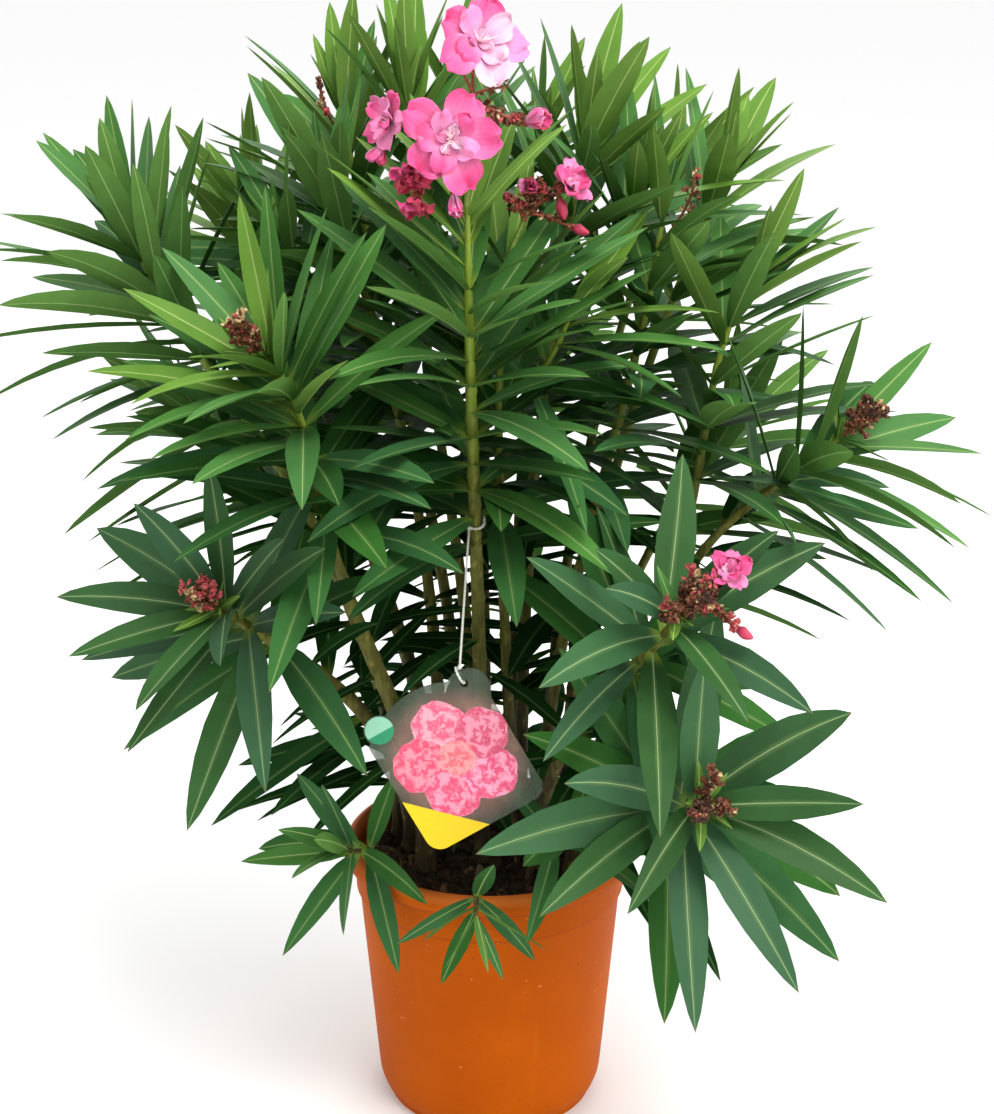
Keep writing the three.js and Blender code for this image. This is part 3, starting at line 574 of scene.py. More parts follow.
class Path:
    """A cubic curve that leaves its start along `out` and reaches its end along `aim`."""

    def __init__(self, start, out, end, aim):
        reach = np.linalg.norm(end - start)
        self.knots = (start, start + out * reach * BEND["out"], end - aim * reach * BEND["into"], end)

    def at(self, t):
        """Points of the curve at shares t."""
        a, b, c, d = self.knots
        t = np.asarray(t, float)[..., None]
        return (1 - t) ** 3 * a + 3 * (1 - t) ** 2 * t * b + 3 * (1 - t) * t**2 * c + t**3 * d

    def along(self, t):
        """Directions of the curve at shares t."""
        a, b, c, d = self.knots
        t = np.asarray(t, float)[..., None]
        return unit((1 - t) ** 2 * (b - a) + 2 * (1 - t) * t * (c - b) + t**2 * (d - c))

    def axes(self, t):
        """Along, front and right at one share t, from a level line that the path doesn't follow."""
        along = self.along(t)
        level = vec((0, 1, 0)) if abs(along[0]) > 0.9 else vec((1, 0, 0))
        front = unit(np.cross(level, along))
        return along, front, unit(np.cross(along, front))

    def length(self):
        points = self.at(np.linspace(0, 1, 60))
        return np.linalg.norm(np.diff(points, axis=0), axis=1).sum()


def on_soil(foot):
    return vec((*foot, SOIL_LEVEL))


# Each limb: its name, path, share where it starts and ends, radii there, and whether it has a flare.
limbs = []
# Each twig: its name, mass, path, share where it starts, and radius there.
twigs = []


def add_limbs():
    """Fills limbs and twigs by the source's rule."""
    for name, stem in STEMS.items():
        path = Path(on_soil(stem["foot"]), UP, vec(stem["tip"]), unit(vec(stem["aim"])))
        end = stem["base"] * stem.get("taper", TAPER["stem"])
        limbs.append((f"stem_{name}", path, stem["bare"], stem["base"], end, True))
        twigs.append((name, stem, path, stem["bare"], end))
    for name, stem in FORKS.items():
        aim = unit(vec(stem["aim"]))
        path = Path(on_soil(stem["foot"]), UP, vec(stem["fork"]), aim)
        limbs.append((f"stem_{name}", path, 1, stem["base"], stem["base"] * TAPER["forked"], True))
        first, second = (vec(b["tip"]) for b in stem["boughs"].values())
        across = second - first
        apart = unit(across - aim * (across @ aim))
        for side, (bough_name, bough) in zip((-1, 1), stem["boughs"].items()):
            radius = stem["base"] * TAPER["bough_foot"]
            start = vec(stem["fork"]) + aim * 0.6 + apart * side * (radius + 0.3)
            bough_path = Path(start, aim, vec(bough["tip"]), unit(vec(bough["aim"])))
            end = radius * TAPER["bough"]
            limbs.append((f"bough_{bough_name}", bough_path, bough["bare"], radius, end, False))
            twigs.append((bough_name, bough, bough_path, bough["bare"], end))
    for name, shoot in LOW_SHOOTS.items():
        path = Path(on_soil(shoot["foot"]), UP, vec(shoot["tip"]), unit(vec(shoot["aim"])))
        twigs.append((name, shoot, path, 0, shoot["base"]))


add_limbs()
path_of = {name: path for name, _, path, _, _ in twigs}


LIMB_AROUND = 14  # how many points go round a limb
NODE = {"gap": 26, "reach": 3.2, "ring": 0.16, "lobe": 0.75}  # where leaves stood, in millimetres


def stem_skin(path, start, end, first_radius, last_radius, flare, seed,
              around=LIMB_AROUND, step=3.5, taper=1):
    """A limb with its bark's relief.

    The radius tapers with a power of the share along it, evenly where that is 1, swells over each node
    where three leaves stood, and carries long shallow ridges. A flare spreads the foot with the square
    of the way down the last tenth. Marks X is 1 on the scars of the fallen leaves.
    """
    length = path.length() * (end - start)
    count = max(4, int(length / step))
    share = np.linspace(0, 1, count)
    t = start + (end - start) * share
    even = first_radius + (last_radius - first_radius) * share**taper
    if flare:
        even = even * (1 + (FLARE["factor"] - 1) * np.clip(1 - share / FLARE["share"], 0, 1) ** 2)
    angle = 2 * np.pi * np.arange(around) / around
    node = share * length / NODE["gap"] + seed * 0.37
    whorl = np.floor(node)
    offset = (node - whorl - 0.5) * NODE["gap"]
    ring = np.exp(-((offset / NODE["reach"]) ** 2))
    turn = angle[None] - whorl[:, None] * np.pi / 3 - seed
    lobes = np.clip(np.cos(3 * turn), 0, 1) ** 2
    scars = np.exp(-(((offset + 1) / 2.2) ** 2))[:, None] * (lobes > 0.55)
    broad_ridges = 0.018 * np.sin(5 * angle + seed)[None]
    ridges = broad_ridges + 0.012 * np.sin(9 * angle + 2 * seed + 9 * share[:, None])
    swelling = ring[:, None] * (NODE["ring"] + NODE["lobe"] * lobes)
    radii = even[:, None] * (1 + ridges) + swelling
    centres = path.at(t)
    if start == 0 and flare:
        centres[0] = centres[0] - UP * 3
    rings_marks = np.zeros((1, count, around, 3))
    rings_marks[0, ..., 0] = scars
    none = np.zeros((1, 3))
    return tube(centres, radii, around, marks=(rings_marks, none, none))


def bough_foot(path, radius, limb_end):
    """The crotch of a bough: a short swelling from inside the limb's end to the bough's own foot."""
    share = np.linspace(0, 1, 8)[:, None]
    start = path.at(0.0)
    low = limb_end - path.along(0.0) * 16
    centres = low + (start + path.along(0.0) * 4 - low) * share
    side = (start - limb_end) - path.along(0.0) * ((start - limb_end) @ path.along(0.0))
    centres = centres - side * (1 - share**0.7) * 0.1
    return tube(centres, radius * (0.8 + 0.22 * np.sin(np.pi * share[:, 0] ** 0.8)), LIMB_AROUND)


def side_twig(name, plant, path, start):
    """The side twig of a mass, which leaves it part way up and ends in a leafy tip of its own."""
    t = start + (1 - start) * SIDE_TWIG["from"]
    along, front, right = path.axes(t)
    tilt = math.radians(SIDE_TWIG["tilt"])
    aside = right * plant["side"] + front * SIDE_TWIG["forward"]
    out = unit(along * math.cos(tilt) + aside * math.sin(tilt))
    length = path.length() * (1 - start) * SIDE_TWIG["length"]
    aim = unit(out + (UP - out) * SIDE_TWIG["rise"])
    end = path.at(t) + (out + aim) * length * 0.5
    side = {**plant, "whorls": SIDE_TWIG["whorls"], "leaf": plant["leaf"] * SIDE_TWIG["leaf_share"],
            "spread": 1, "spent": None}
    return name, side, Path(path.at(t), out, end, aim), 0, SIDE_TWIG["radius"]


# ---------------------------------------------------------------- leaves

BLADE_SHARES = np.array([0.015, 0.08, 0.2, 0.35, 0.51, 0.67, 0.81, 0.92])  # of a leaf's rings
LONG_LEAF = 150  # millimetres: leaves whose middles are farther apart don't meet
RIB_STRIPS = (0, 0, 1, 0, 0, 2, 1, 2)  # the look of each strip round a leaf: blade, rib, underside


def leaf_spot(root, axes, around, opening, length, sag):
    """A leaf that leaves root at an angle opening from the twig, on the side around it."""
    along, front, right = axes
    outward = right * math.cos(around) + front * math.sin(around)
    out = along * math.cos(opening) + outward * math.sin(opening)
    inner = along * math.sin(opening) - outward * math.cos(opening)
    return {"root": root, "out": out, "inner": inner, "length": length,
            "sag": sag * math.hypot(out[0], out[1])}


def blade_rings(leaves):
    """Rings round leaves, with their marks: across, along, and the share along plus twice the tone.

    The midline goes straight out, falls with the square of the share s along it and swings aside with
    that square too. The half width is a power of the sine of pi s to the 0.92. Both halves rise from
    the rib by the leaf's fold, less towards the edge, and the blade turns about its midline by its
    twist times s.
    """
    s = BLADE_SHARES[None, :, None]
    get = lambda key: np.array([leaf[key] for leaf in leaves], float)
    root, out, inner = (get(key)[:, None, :] for key in ("root", "out", "inner"))
    length, width, sag, swing, twist, fold = (
        get(key)[:, None, None] for key in ("length", "width", "sag", "swing", "twist", "fold")
    )
    sideways = np.cross(inner, out)
    midline = lambda s: root + length * (out * s - UP * sag * s**2 + sideways * swing * s**2)
    direction = unit(out - 2 * UP * sag * s + 2 * sideways * swing * s)
    flat = unit(np.cross(inner, direction))
    lifted = np.cross(direction, flat)
    turn = twist * s
    across = flat * np.cos(turn) + lifted * np.sin(turn)
    upward = lifted * np.cos(turn) - flat * np.sin(turn)
    half = width / 2 * np.sin(np.pi * s**0.92) ** 0.74 + 0.7 * (1 - s)
    rib = 0.5 - 0.3 * s
    rise = lambda x: fold * x * (1 - 0.4 * x / half)
    columns = [(half, rise(half)), (0.55 * half, rise(0.55 * half)), (rib, rise(rib) + 0.1)]
    columns += [(-x, h) for x, h in reversed(columns)]
    keel = -0.55 - 0.8 * (1 - s) ** 3
    columns += [(-1.3 * rib, keel), (1.3 * rib, keel)]
    x, h = (np.stack([np.broadcast_to(c[i], half.shape) for c in columns], 2) for i in (0, 1))
    rings = midline(s)[:, :, None] + across[:, :, None] * x + upward[:, :, None] * h
    marks = np.zeros_like(rings)
    marks[..., 0] = (x / half[:, :, None])[..., 0]
    marks[..., 1] = s * length / LONG_LEAF
    tone = 2 * get("tone")
    marks[..., 2] = s + tone[:, None, None]
    ends = np.stack([0 * tone, 0 * tone, tone], 1)
    tips = ends + np.array([0, 1, 1])
    return rings, midline(0 * s[:, :1])[:, 0], midline(0 * s[:, :1] + 1)[:, 0], (marks, ends, tips)


def tree_of(points, *faces):
    """Points and arrays of faces as a tree, to test for crossings."""
    return BVHTree.FromPolygons(points.tolist(), [face for some in faces for face in some.tolist()])


def blade_tree(leaf):
    """A tree of one leaf's blade past its root, to test for crossings."""
    rings = blade_rings([leaf])[0][0]
    edge = rings[2:, [0, 2, 5]]
    edge = np.concatenate([edge, np.broadcast_to(edge[-1].mean(0) + leaf["out"] * 4, (1, 3, 3))])
    rows = len(edge)
    k = 3 * np.arange(rows - 1)[:, None]
    faces = np.concatenate([k + np.array([0, 1, 4, 3]), k + np.array([1, 2, 5, 4])])
    return tree_of(edge.reshape(-1, 3), faces)


placed = []  # the leaves, each with its tint
trees = []  # their trees, with their middles in middles
middles = []
solids = []  # trees of limbs that leaves keep clear of where they can
clearings = []  # trees of the places where no leaf may be at all


def is_clear(leaf):
    """The leaf's tree if it crosses nothing in place."""
    tree = blade_tree(leaf)
    if any(tree.overlap(other) for other in (*clearings, *solids)):
        return None
    if middles:
        middle = leaf["root"] + leaf["out"] * leaf["length"] / 2
        near = np.flatnonzero(np.linalg.norm(np.array(middles) - middle, axis=1) < LONG_LEAF)
        if any(tree.overlap(trees[i]) for i in near):
            return None
    return tree


TONES = 10  # how many tones of its tint a leaf may have
PALETTES = {  # the tints of a spray, youngest leaves first
    "crown": ("young", "mid", "mid", "deep", "deep"),
    "shade": ("mid", "deep", "deep", "shade", "shade"),
    "glaucous": ("glaucous", "glaucous", "glaucous", "deep"),
    "calm": ("mid", "mid", "deep", "deep"),
    "low": ("mid", "deep", "deep"),
}
# The share of the leaves in the gaps between whorls that each palette keeps.
FILLED = {"crown": 1.0, "calm": 1.0, "shade": 0.35, "glaucous": 0.2, "low": 0.0}


def settle(spots, finish, palette, filled):
    """Places leaves one by one, each turned aside until it crosses nothing, or else left out."""
    tints = PALETTES[palette]
    aspect = LEAF["broad" if palette in ("glaucous", "low") else "aspect"]
    for age, optional, (root, axes, around, opening, length, sag) in spots:
        if optional and finish.random() > filled:
            continue
        shape = {
            "width": length * (aspect + finish.normal(0, VARIES["aspect"])) + 1,
            "swing": finish.normal(0, VARIES["swing"]),
            "twist": finish.normal(0, VARIES["twist"]),
            "fold": VARIES["least_fold"] + VARIES["fold"] * finish.random(),
            "tone": 7 * len(placed) % TONES,
        }
        ripeness = age * len(tints) + finish.normal(0, VARIES["age"])
        tint = tints[int(np.clip(ripeness, 0, len(tints) - 1))]
        for turn in TURNS:
            leaf = {**leaf_spot(root, axes, around + math.radians(turn), opening, length, sag), **shape}
            tree = is_clear(leaf)
            if tree:
                break
        else:
            if optional or finish.random() < VARIES["left_out"]:
                continue
            leaf = {**leaf_spot(root, axes, around, opening, length, sag), **shape}
            tree = blade_tree(leaf)
            if any(tree.overlap(other) for other in clearings):
                continue
        placed.append({**leaf, "tint": tint})
        trees.append(tree)
        middles.append(leaf["root"] + leaf["out"] * leaf["length"] / 2)


def whorl_spots(plant, path, start, phase_start, draw, between=False):
    """The source's own whorls of a twig, or those between them, which fill the crown where they fit.

    Young leaves stand up close to the twig, and older ones open.
    """
    leaf_from = 1 - plant["leafy"] if "leafy" in plant else start
    count = plant["whorls"]
    for k in np.arange(0.5, count - 1, 0.5) if between else range(count):
        age = k / (count - 1)
        t = 1 - (1 - leaf_from) * (LEAFY["near_tip"] + LEAFY["reach"] * age ** WHORL["spacing_power"])
        phase = k * math.pi / 3 + (next(draw) - 0.5) * SCATTER["whorl"] + phase_start
        if between and k % 1 == 0:
            phase += math.pi / 3
        yield from ring_spots(plant, path, t, age, phase, draw, between)


def ring_spots(plant, path, t, age, phase, draw, optional):
    """The three leaves of one whorl."""
    axes = path.axes(t)
    wider = WHORL["low_opening"] - WHORL["top_opening"]
    opening = WHORL["top_opening"] + wider * age ** WHORL["opening_power"]
    opening = max(opening, plant.get("least_opening", 0)) * plant.get("spread", 1)
    share = WHORL["tip_share"] + (1 - WHORL["tip_share"]) * min(1, age * LEAFY["full_age"])
    for i in range(WHORL["leaves"]):
        around = phase + i * 2 * math.pi / WHORL["leaves"] + (next(draw) - 0.5) * SCATTER["leaf"]
        angle = math.radians(opening + (next(draw) - 0.5) * SCATTER["opening"])
        length = plant["leaf"] * share * (SCATTER["shortest"] + SCATTER["length"] * next(draw))
        sag = LEAF["sag"] * (SCATTER["least_sag"] + SCATTER["sag"] * next(draw))
        yield age, optional, (path.at(t), axes, around, angle, length, sag)


def tuft_spots(plant, path, draw):
    """The young leaves round a tip, shortest in the middle and nearly upright.

    Round a spent tip they are small, and stand aside for it.
    """
    size, aside = (TUFT["spent_size"], TUFT["spent_aside"]) if plant.get("spent") else (1, 0)
    for k in range(TUFT["whorls"]):
        share = TUFT["shortest"] + (TUFT["longest"] - TUFT["shortest"]) * k / (TUFT["whorls"] - 1)
        t = 1 - TUFT["gap"] * k
        axes = path.axes(t)
        for i in range(WHORL["leaves"]):
            around = k * math.pi / 3 + i * 2 * math.pi / 3 + (next(draw) - 0.5) * TUFT["scatter"]
            opening = math.radians(aside + TUFT["opening"] * (k + 0.6) * (0.7 + 0.6 * next(draw)))
            length = plant["leaf"] * size * share * (0.85 + 0.3 * next(draw))
            yield 0.0, False, (path.at(t), axes, around, opening, length, TUFT["sag"])


def inner_spots(path, end, draw):
    """Old leaves on a limb below its mass, which hang at its sides and are shaded by the crown."""
    length = path.length()
    rings = int(length * end / INNER["gap"])
    for k in range(rings):
        t = end - (k + 0.4) * INNER["gap"] / length
        root = path.at(t)
        if root[2] < INNER["lowest"]:
            return
        axes = path.axes(t)
        phase = k * math.pi / 3 + next(draw)
        for i in range(WHORL["leaves"]):
            around = phase + i * 2 * math.pi / WHORL["leaves"] + (next(draw) - 0.5) * SCATTER["leaf"]
            angle = math.radians(INNER["opening"] + (next(draw) - 0.5) * INNER["spread"])
            leaf = INNER["leaf"] * (INNER["shortest"] + INNER["length"] * next(draw))
            next(draw)  # passed over, so that the next draw is the sag's own
            yield 1.0, True, (root, axes, around, angle, leaf, INNER["sag"] * (0.5 + next(draw)))


def coarse_tree(path, start, end, radius):
    """A four-sided tube as a tree, for crossings with limbs."""
    skin = tube(path.at(np.linspace(start, end, 9)), np.full(9, radius), 4)
    return tree_of(skin.points, skin.quads)


# ---------------------------------------------------------------- build: pot and soil


def rounded(outline):
    """An outline with each corner drawn as a curve, which begins before the corner and ends after."""
    points = np.array([p[:2] for p in outline], float)
    rounding = np.array([p[2] for p in outline[1:-1]], float)[:, None]
    corner = points[1:-1]

    def towards(step):
        size = np.linalg.norm(step, axis=1, keepdims=True)
        return corner + step / size * np.minimum(rounding, 0.45 * size)

    before = towards(points[:-2] - corner)[:, None]
    after = towards(points[2:] - corner)[:, None]
    s = np.linspace(0, 1, 4)[:, None]
    curves = (1 - s) ** 2 * before + 2 * s * (1 - s) * corner[:, None] + s**2 * after
    return np.concatenate([points[:1], curves.reshape(-1, 2), points[-1:]])


def lathe(profile, around, bottom, top):
    """A skin turned round the Z axis from a profile of radii and heights, closed at both ends."""
    angle = 2 * np.pi * np.arange(around) / around
    rings = np.stack(
        [profile[:, :1] * np.cos(angle), profile[:, :1] * np.sin(angle), profile[:, 1:] + 0 * angle], -1
    )
    return loft(rings[None], vec([(0, 0, bottom)]), vec([(0, 0, top)]))


def make_pot():
    profile = rounded(POT_OUTLINE)
    keep = np.concatenate([[True], np.linalg.norm(np.diff(profile, axis=0), axis=1) > 0.02])
    skin = lathe(profile[keep], 144, 0, POT_FLOOR)
    make_piece("nursery_pot", [skin], [pot_plastic()], ["pot"], sharp=50)


def soil_drop(radius):
    """How far the compost falls away by the wall: with the square of the way out from 88 mm."""
    return 4.5 * np.clip((radius - 88) / 15, 0, 1) ** 2


def soil_ripple(x, y):
    """The roughness of the compost's top: sine waves of 14 lengths in as many directions, added."""
    coarsest = 40.0
    finest = 6.0
    random = np.random.default_rng(4)
    height = np.zeros_like(x)
    for wavelength in np.geomspace(coarsest, finest, 14):
        heading = random.uniform(0, 2 * np.pi)
        phase = random.uniform(0, 2 * np.pi)
        wave = (x * math.cos(heading) + y * math.sin(heading)) * 2 * np.pi / wavelength
        height += np.sin(wave + phase) * wavelength / coarsest
    return height / 2.2 * 1.7


CRUMBS = (  # a name, a colour, how many and their size
    ("crumb_dark", "2a1c12", 520, 2.6), ("crumb_brown", "5a3c24", 260, 2.9),
    ("crumb_pale", "8c6c48", 90, 2.2),
)


def make_soil():
    """The compost: a turned body whose top is rough and drops at the wall, with crumbs on it."""
    side = np.array(SOIL_OUTLINE, float)
    radii = np.linspace(102.6, 2, 46)
    top = np.stack([radii, SOIL_LEVEL - soil_drop(radii)], -1)
    profile = np.concatenate([side, top])
    around = 120
    angle = 2 * np.pi * np.arange(around) / around
    x = profile[:, :1] * np.cos(angle)
    y = profile[:, :1] * np.sin(angle)
    rough = soil_ripple(x, y) * (np.arange(len(profile)) >= len(side))[:, None]
    rings = np.stack([x, y, profile[:, 1:] + rough - 0.6], -1)
    body = loft(rings[None], vec([(0, 0, 4.3)]), vec([(0, 0, SOIL_LEVEL)]))
    make_piece("compost", [body], [peat()], ["soil"], sharp=70)
    looks = [crumb_look(name, colour) for name, colour, *_ in CRUMBS]
    skins = [crumbs(count, size, slot) for slot, (_, _, count, size) in enumerate(CRUMBS)]
    make_piece("compost_crumbs", skins, looks, ["soil"], sharp=30)


def crumbs(count, size, slot):
    """Small uneven lumps strewn on the compost, each two rings of five points between two poles."""
    random = np.random.default_rng(slot + 1)
    around = 5
    angle = 2 * np.pi * np.arange(around) / around
    reach = np.sqrt(random.uniform(0, 1, count)) * 99
    heading = random.uniform(0, 2 * np.pi, count)
    x = reach * np.cos(heading)
    y = reach * np.sin(heading)
    z = SOIL_LEVEL + soil_ripple(x, y) - soil_drop(reach)
    centre = np.stack([x, y, z], -1)
    scale = size * random.lognormal(0, 0.35, (count, 1))
    basis = np.linalg.qr(random.normal(size=(count, 3, 3)))[0]
    basis[:, :, 2] *= np.sign(np.linalg.det(basis))[:, None]
    basis = basis * (scale * random.uniform(0.5, 1.1, (count, 3)))[:, None, :]
    rings = []
    for level in (-0.5, 0.5):
        wide = 0.9 * random.uniform(0.7, 1.2, (count, around))
        local = np.stack([wide * np.cos(angle), wide * np.sin(angle), level + 0 * wide], -1)
        rings.append(centre[:, None] + np.einsum("nij,nkj->nki", basis, local))
    first = centre - basis[:, :, 2]
    last = centre + basis[:, :, 2]
    return loft(np.stack(rings, 1), first, last, slot)


# ---------------------------------------------------------------- build: limbs and twigs


def make_limbs():
    """All stems and boughs as one piece with the bark's relief, and all twigs as another."""
    skins = []
    ends = {name: path.at(1.0) for name, path, *_ in limbs}
    fork_of = {b: f"stem_{name}" for name, stem in FORKS.items() for b in stem["boughs"]}
    for i, (name, path, bare, base, end, flare) in enumerate(limbs):
        skins.append(stem_skin(path, 0, bare, base, end, flare, i))
        solids.append(coarse_tree(path, 0, bare, end))
        if not flare:
            limb_end = ends[fork_of[name.removeprefix("bough_")]]
            skins.append(bough_foot(path, base, limb_end))
    look = bark()
    make_piece("limbs", skins, [look], [limb[0] for limb in limbs], sharp=60)
    skins = []
    for i, (_, _, path, start, radius) in enumerate(twigs):
        skins.append(stem_skin(path, max(0, start - 0.01), 1, radius, TIP_RADIUS, False, i, 10, 4, 2.2))
        solids.append(coarse_tree(path, start, 0.97, 1.2))
    make_piece("twigs", skins, [look], foliage_nodes, sharp=60)


# ---------------------------------------------------------------- build: foliage

TINTS = {  # upper face, its sheen, rib and underside
    "young": ("507828", "648c34", "a4b86c", "66893e"),
    "mid": ("3c6c2c", "4a7b38", "92ae6a", "5c8440"),
    "deep": ("295520", "35642a", "7c9c5c", "4a7036"),
    "shade": ("163614", "20441a", "5c7c4a", "2c4e1e"),
    "glaucous": ("26491e", "31582c", "84a070", "3a5c2e"),
}
FINISH = {  # how glossy each is, and how much painted blue grey reflection it may carry
    "young": (0.1, 0.06), "mid": (0.09, 0.2), "deep": (0.04, 0.25), "shade": (0.0, 0.1),
    "glaucous": (0.12, 0.34),
}


def grow_foliage():
    """Fills the list of leaves, mass by mass, by the source's rule and then in its gaps."""
    every = []
    for seed, (name, plant, path, start, _) in enumerate(main_twigs, 1):
        draw = lehmer(seed)
        if plant.get("spent"):
            for _ in range(3 * SPENT["stalks"]):
                next(draw)
        every.append((seed, plant, path, start, float(seed), draw))
        for side_name, side, side_path, *_ in side_twigs:
            if side_name == name:
                every.append((seed, side, side_path, SIDE_TWIG["leaf_from"], seed + 0.5, draw))
    for seed, plant, path, start, phase, draw in every:
        finish = np.random.default_rng([seed, int(phase * 2)])
        settle(whorl_spots(plant, path, start, phase, draw), finish, plant.get("palette", "crown"), 1)
    for seed, plant, path, start, phase, draw in every:
        finish = np.random.default_rng([seed, int(phase * 2), 7])
        extra = lehmer(seed + 100 + int(phase * 2))
        palette = plant.get("palette", "crown")
        if "least_opening" not in plant and palette != "low":
            tuft_palette = "crown" if plant.get("spent") else palette
            settle(tuft_spots(plant, path, extra), finish, tuft_palette, 1)
        filled = plant.get("filled", FILLED[palette])
        settle(whorl_spots(plant, path, start, phase, extra, True), finish, palette, filled)
    for seed, (_, path, end, *_) in enumerate(limbs):
        finish = np.random.default_rng([seed, 5])
        settle(inner_spots(path, end, lehmer(seed + 300)), finish, "shade", FILLED["shade"])


def make_foliage():
    rings, first, last, marks = blade_rings(placed)
    for tint, (blade, sheen, rib, under) in TINTS.items():
        chosen = np.array([leaf["tint"] == tint for leaf in placed])
        looks = [leaf_upper(tint, blade, sheen, *FINISH[tint]), plain_green("rib_" + tint, rib, 0.45),
                 plain_green("underside_" + tint, under, 0.6)]
        skin = loft(rings[chosen], first[chosen], last[chosen], RIB_STRIPS,
                    tuple(m[chosen] for m in marks))
        make_piece("leaves_" + tint, [skin], looks, foliage_nodes, sharp=50)


# ---------------------------------------------------------------- build: flowers


def way_marks(rings, across, way):
    """Marks of a batch of rings: X across it, and Y the share along it, 0 and 1 at its poles."""
    marks = np.zeros_like(rings)
    marks[..., 0] = across
    marks[..., 1] = way
    ends = np.zeros((len(rings), 3))
    return marks, ends, ends + np.array([0, 1, 0])


def petals(centre, face, headings, length, width, tilt, ruffle, random):
    """A ring of petals: their rings of points, poles and marks, as loft takes them.

    Each petal leaves the middle at the first angle of tilt from the bloom's axis and bends evenly to
    the second. Its half width swells with the sine of the way and closes in a round, notched end.
    Waves across it and along it, that grow with the way out, ruffle it.
    """
    axis = unit(vec(face))
    right, front = square_to(axis)
    count = len(headings)
    radial = right * np.cos(headings)[:, None] + front * np.sin(headings)[:, None]
    tangent = np.cross(axis, radial)
    s = np.array([0.03, 0.12, 0.25, 0.4, 0.55, 0.7, 0.82, 0.91, 0.97])
    size = length * random.uniform(0.88, 1.1, count)[:, None, None]
    low, high = np.radians(tilt)
    bend = low + (high + random.normal(0, 0.16, count)[:, None] - low) * s
    along = np.cos(bend)[..., None] * axis + np.sin(bend)[..., None] * radial[:, None]
    middle = centre + np.cumsum(np.diff(s, prepend=0)[:, None] * along, 1) * size
    normal = np.sin(bend)[..., None] * axis - np.cos(bend)[..., None] * radial[:, None]
    end = np.clip((s - 0.55) / 0.45, 0, 1)
    half = (width / 2 * np.sin(np.pi / 2 * s**0.8) * np.sqrt(1 - 0.97 * end**2.4))[None, :, None]
    u = np.linspace(1, -1, 9)
    across = np.concatenate([u, u[::-1]])[None, None]
    thin = np.concatenate([0 * u, 0 * u + 0.4])
    way = s[None, :, None]
    phase = random.uniform(0, 2 * np.pi, (4, count, 1, 1))
    waves = np.sin(3.6 * across + phase[0] + 2 * way) + 0.5 * np.sin(8 * across + phase[1] - 3 * way)
    waves = waves + 0.7 * np.sin(6 * way + phase[2] + 2 * across)
    dish = random.uniform(-0.1, 0.3, (count, 1, 1)) * half * across**2
    lift = ruffle * length * way**1.5 * waves + dish
    notch = -0.07 * size * np.cos(5 * across + phase[3]) * np.clip(way - 0.7, 0, 1) / 0.3
    rings = (
        middle[:, :, None]
        + tangent[:, None, None] * (half * across)[..., None]
        + normal[:, :, None] * (lift - thin)[..., None]
        + along[:, :, None] * notch[..., None]
    )
    first = np.broadcast_to(centre, (count, 3)).copy()
    return rings, first, rings[:, -1].mean(1), way_marks(rings, across, way)


def oval(centre, axis, radius, length, slot, around, stations, twist=0.0, power=1.0):
    """A bud or a drop: a spindle along an axis, whose spiral ridges turn by twist."""
    axis = unit(vec(axis))
    right, front = square_to(axis, UP if abs(axis[2]) < 0.9 else vec((1, 0, 0)))
    s = np.linspace(0.06, 0.94, stations)[:, None]
    angle = 2 * np.pi * np.arange(around) / around + twist * s
    wide = radius * np.sin(np.pi * s**power) ** 0.7 * (1 + 0.1 * np.cos(3 * (angle - 2 * twist * s)))
    rings = (
        centre
        + axis * (s * length)[..., None]
        + right * (wide * np.cos(angle))[..., None]
        + front * (wide * np.sin(angle))[..., None]
    )
    return loft(rings[None], centre[None], (centre + axis * length)[None], slot,
                way_marks(rings[None], 0, s))


petal_skins = {"white": [], "pale": [], "hot": [], "deep": []}
stalk_skins = []
spent_skins = []
filament_skins = []


def add_petals(tints, centre, face, turn, length, width, tilt, ruffle, random):
    """A ring of petals, one to a tint, shared out to the pieces of those tints."""
    count = len(tints)
    headings = turn + 2 * np.pi * (np.arange(count) + random.uniform(-0.14, 0.14, count)) / count
    rings, first, last, marks = petals(centre, face, headings, length, width, tilt, ruffle, random)
    for tint in sorted(set(tints)):
        own = np.array([t == tint for t in tints])
        own_marks = tuple(mark[own] for mark in marks)
        petal_skins[tint].append(loft(rings[own], first[own], last[own], 0, own_marks))


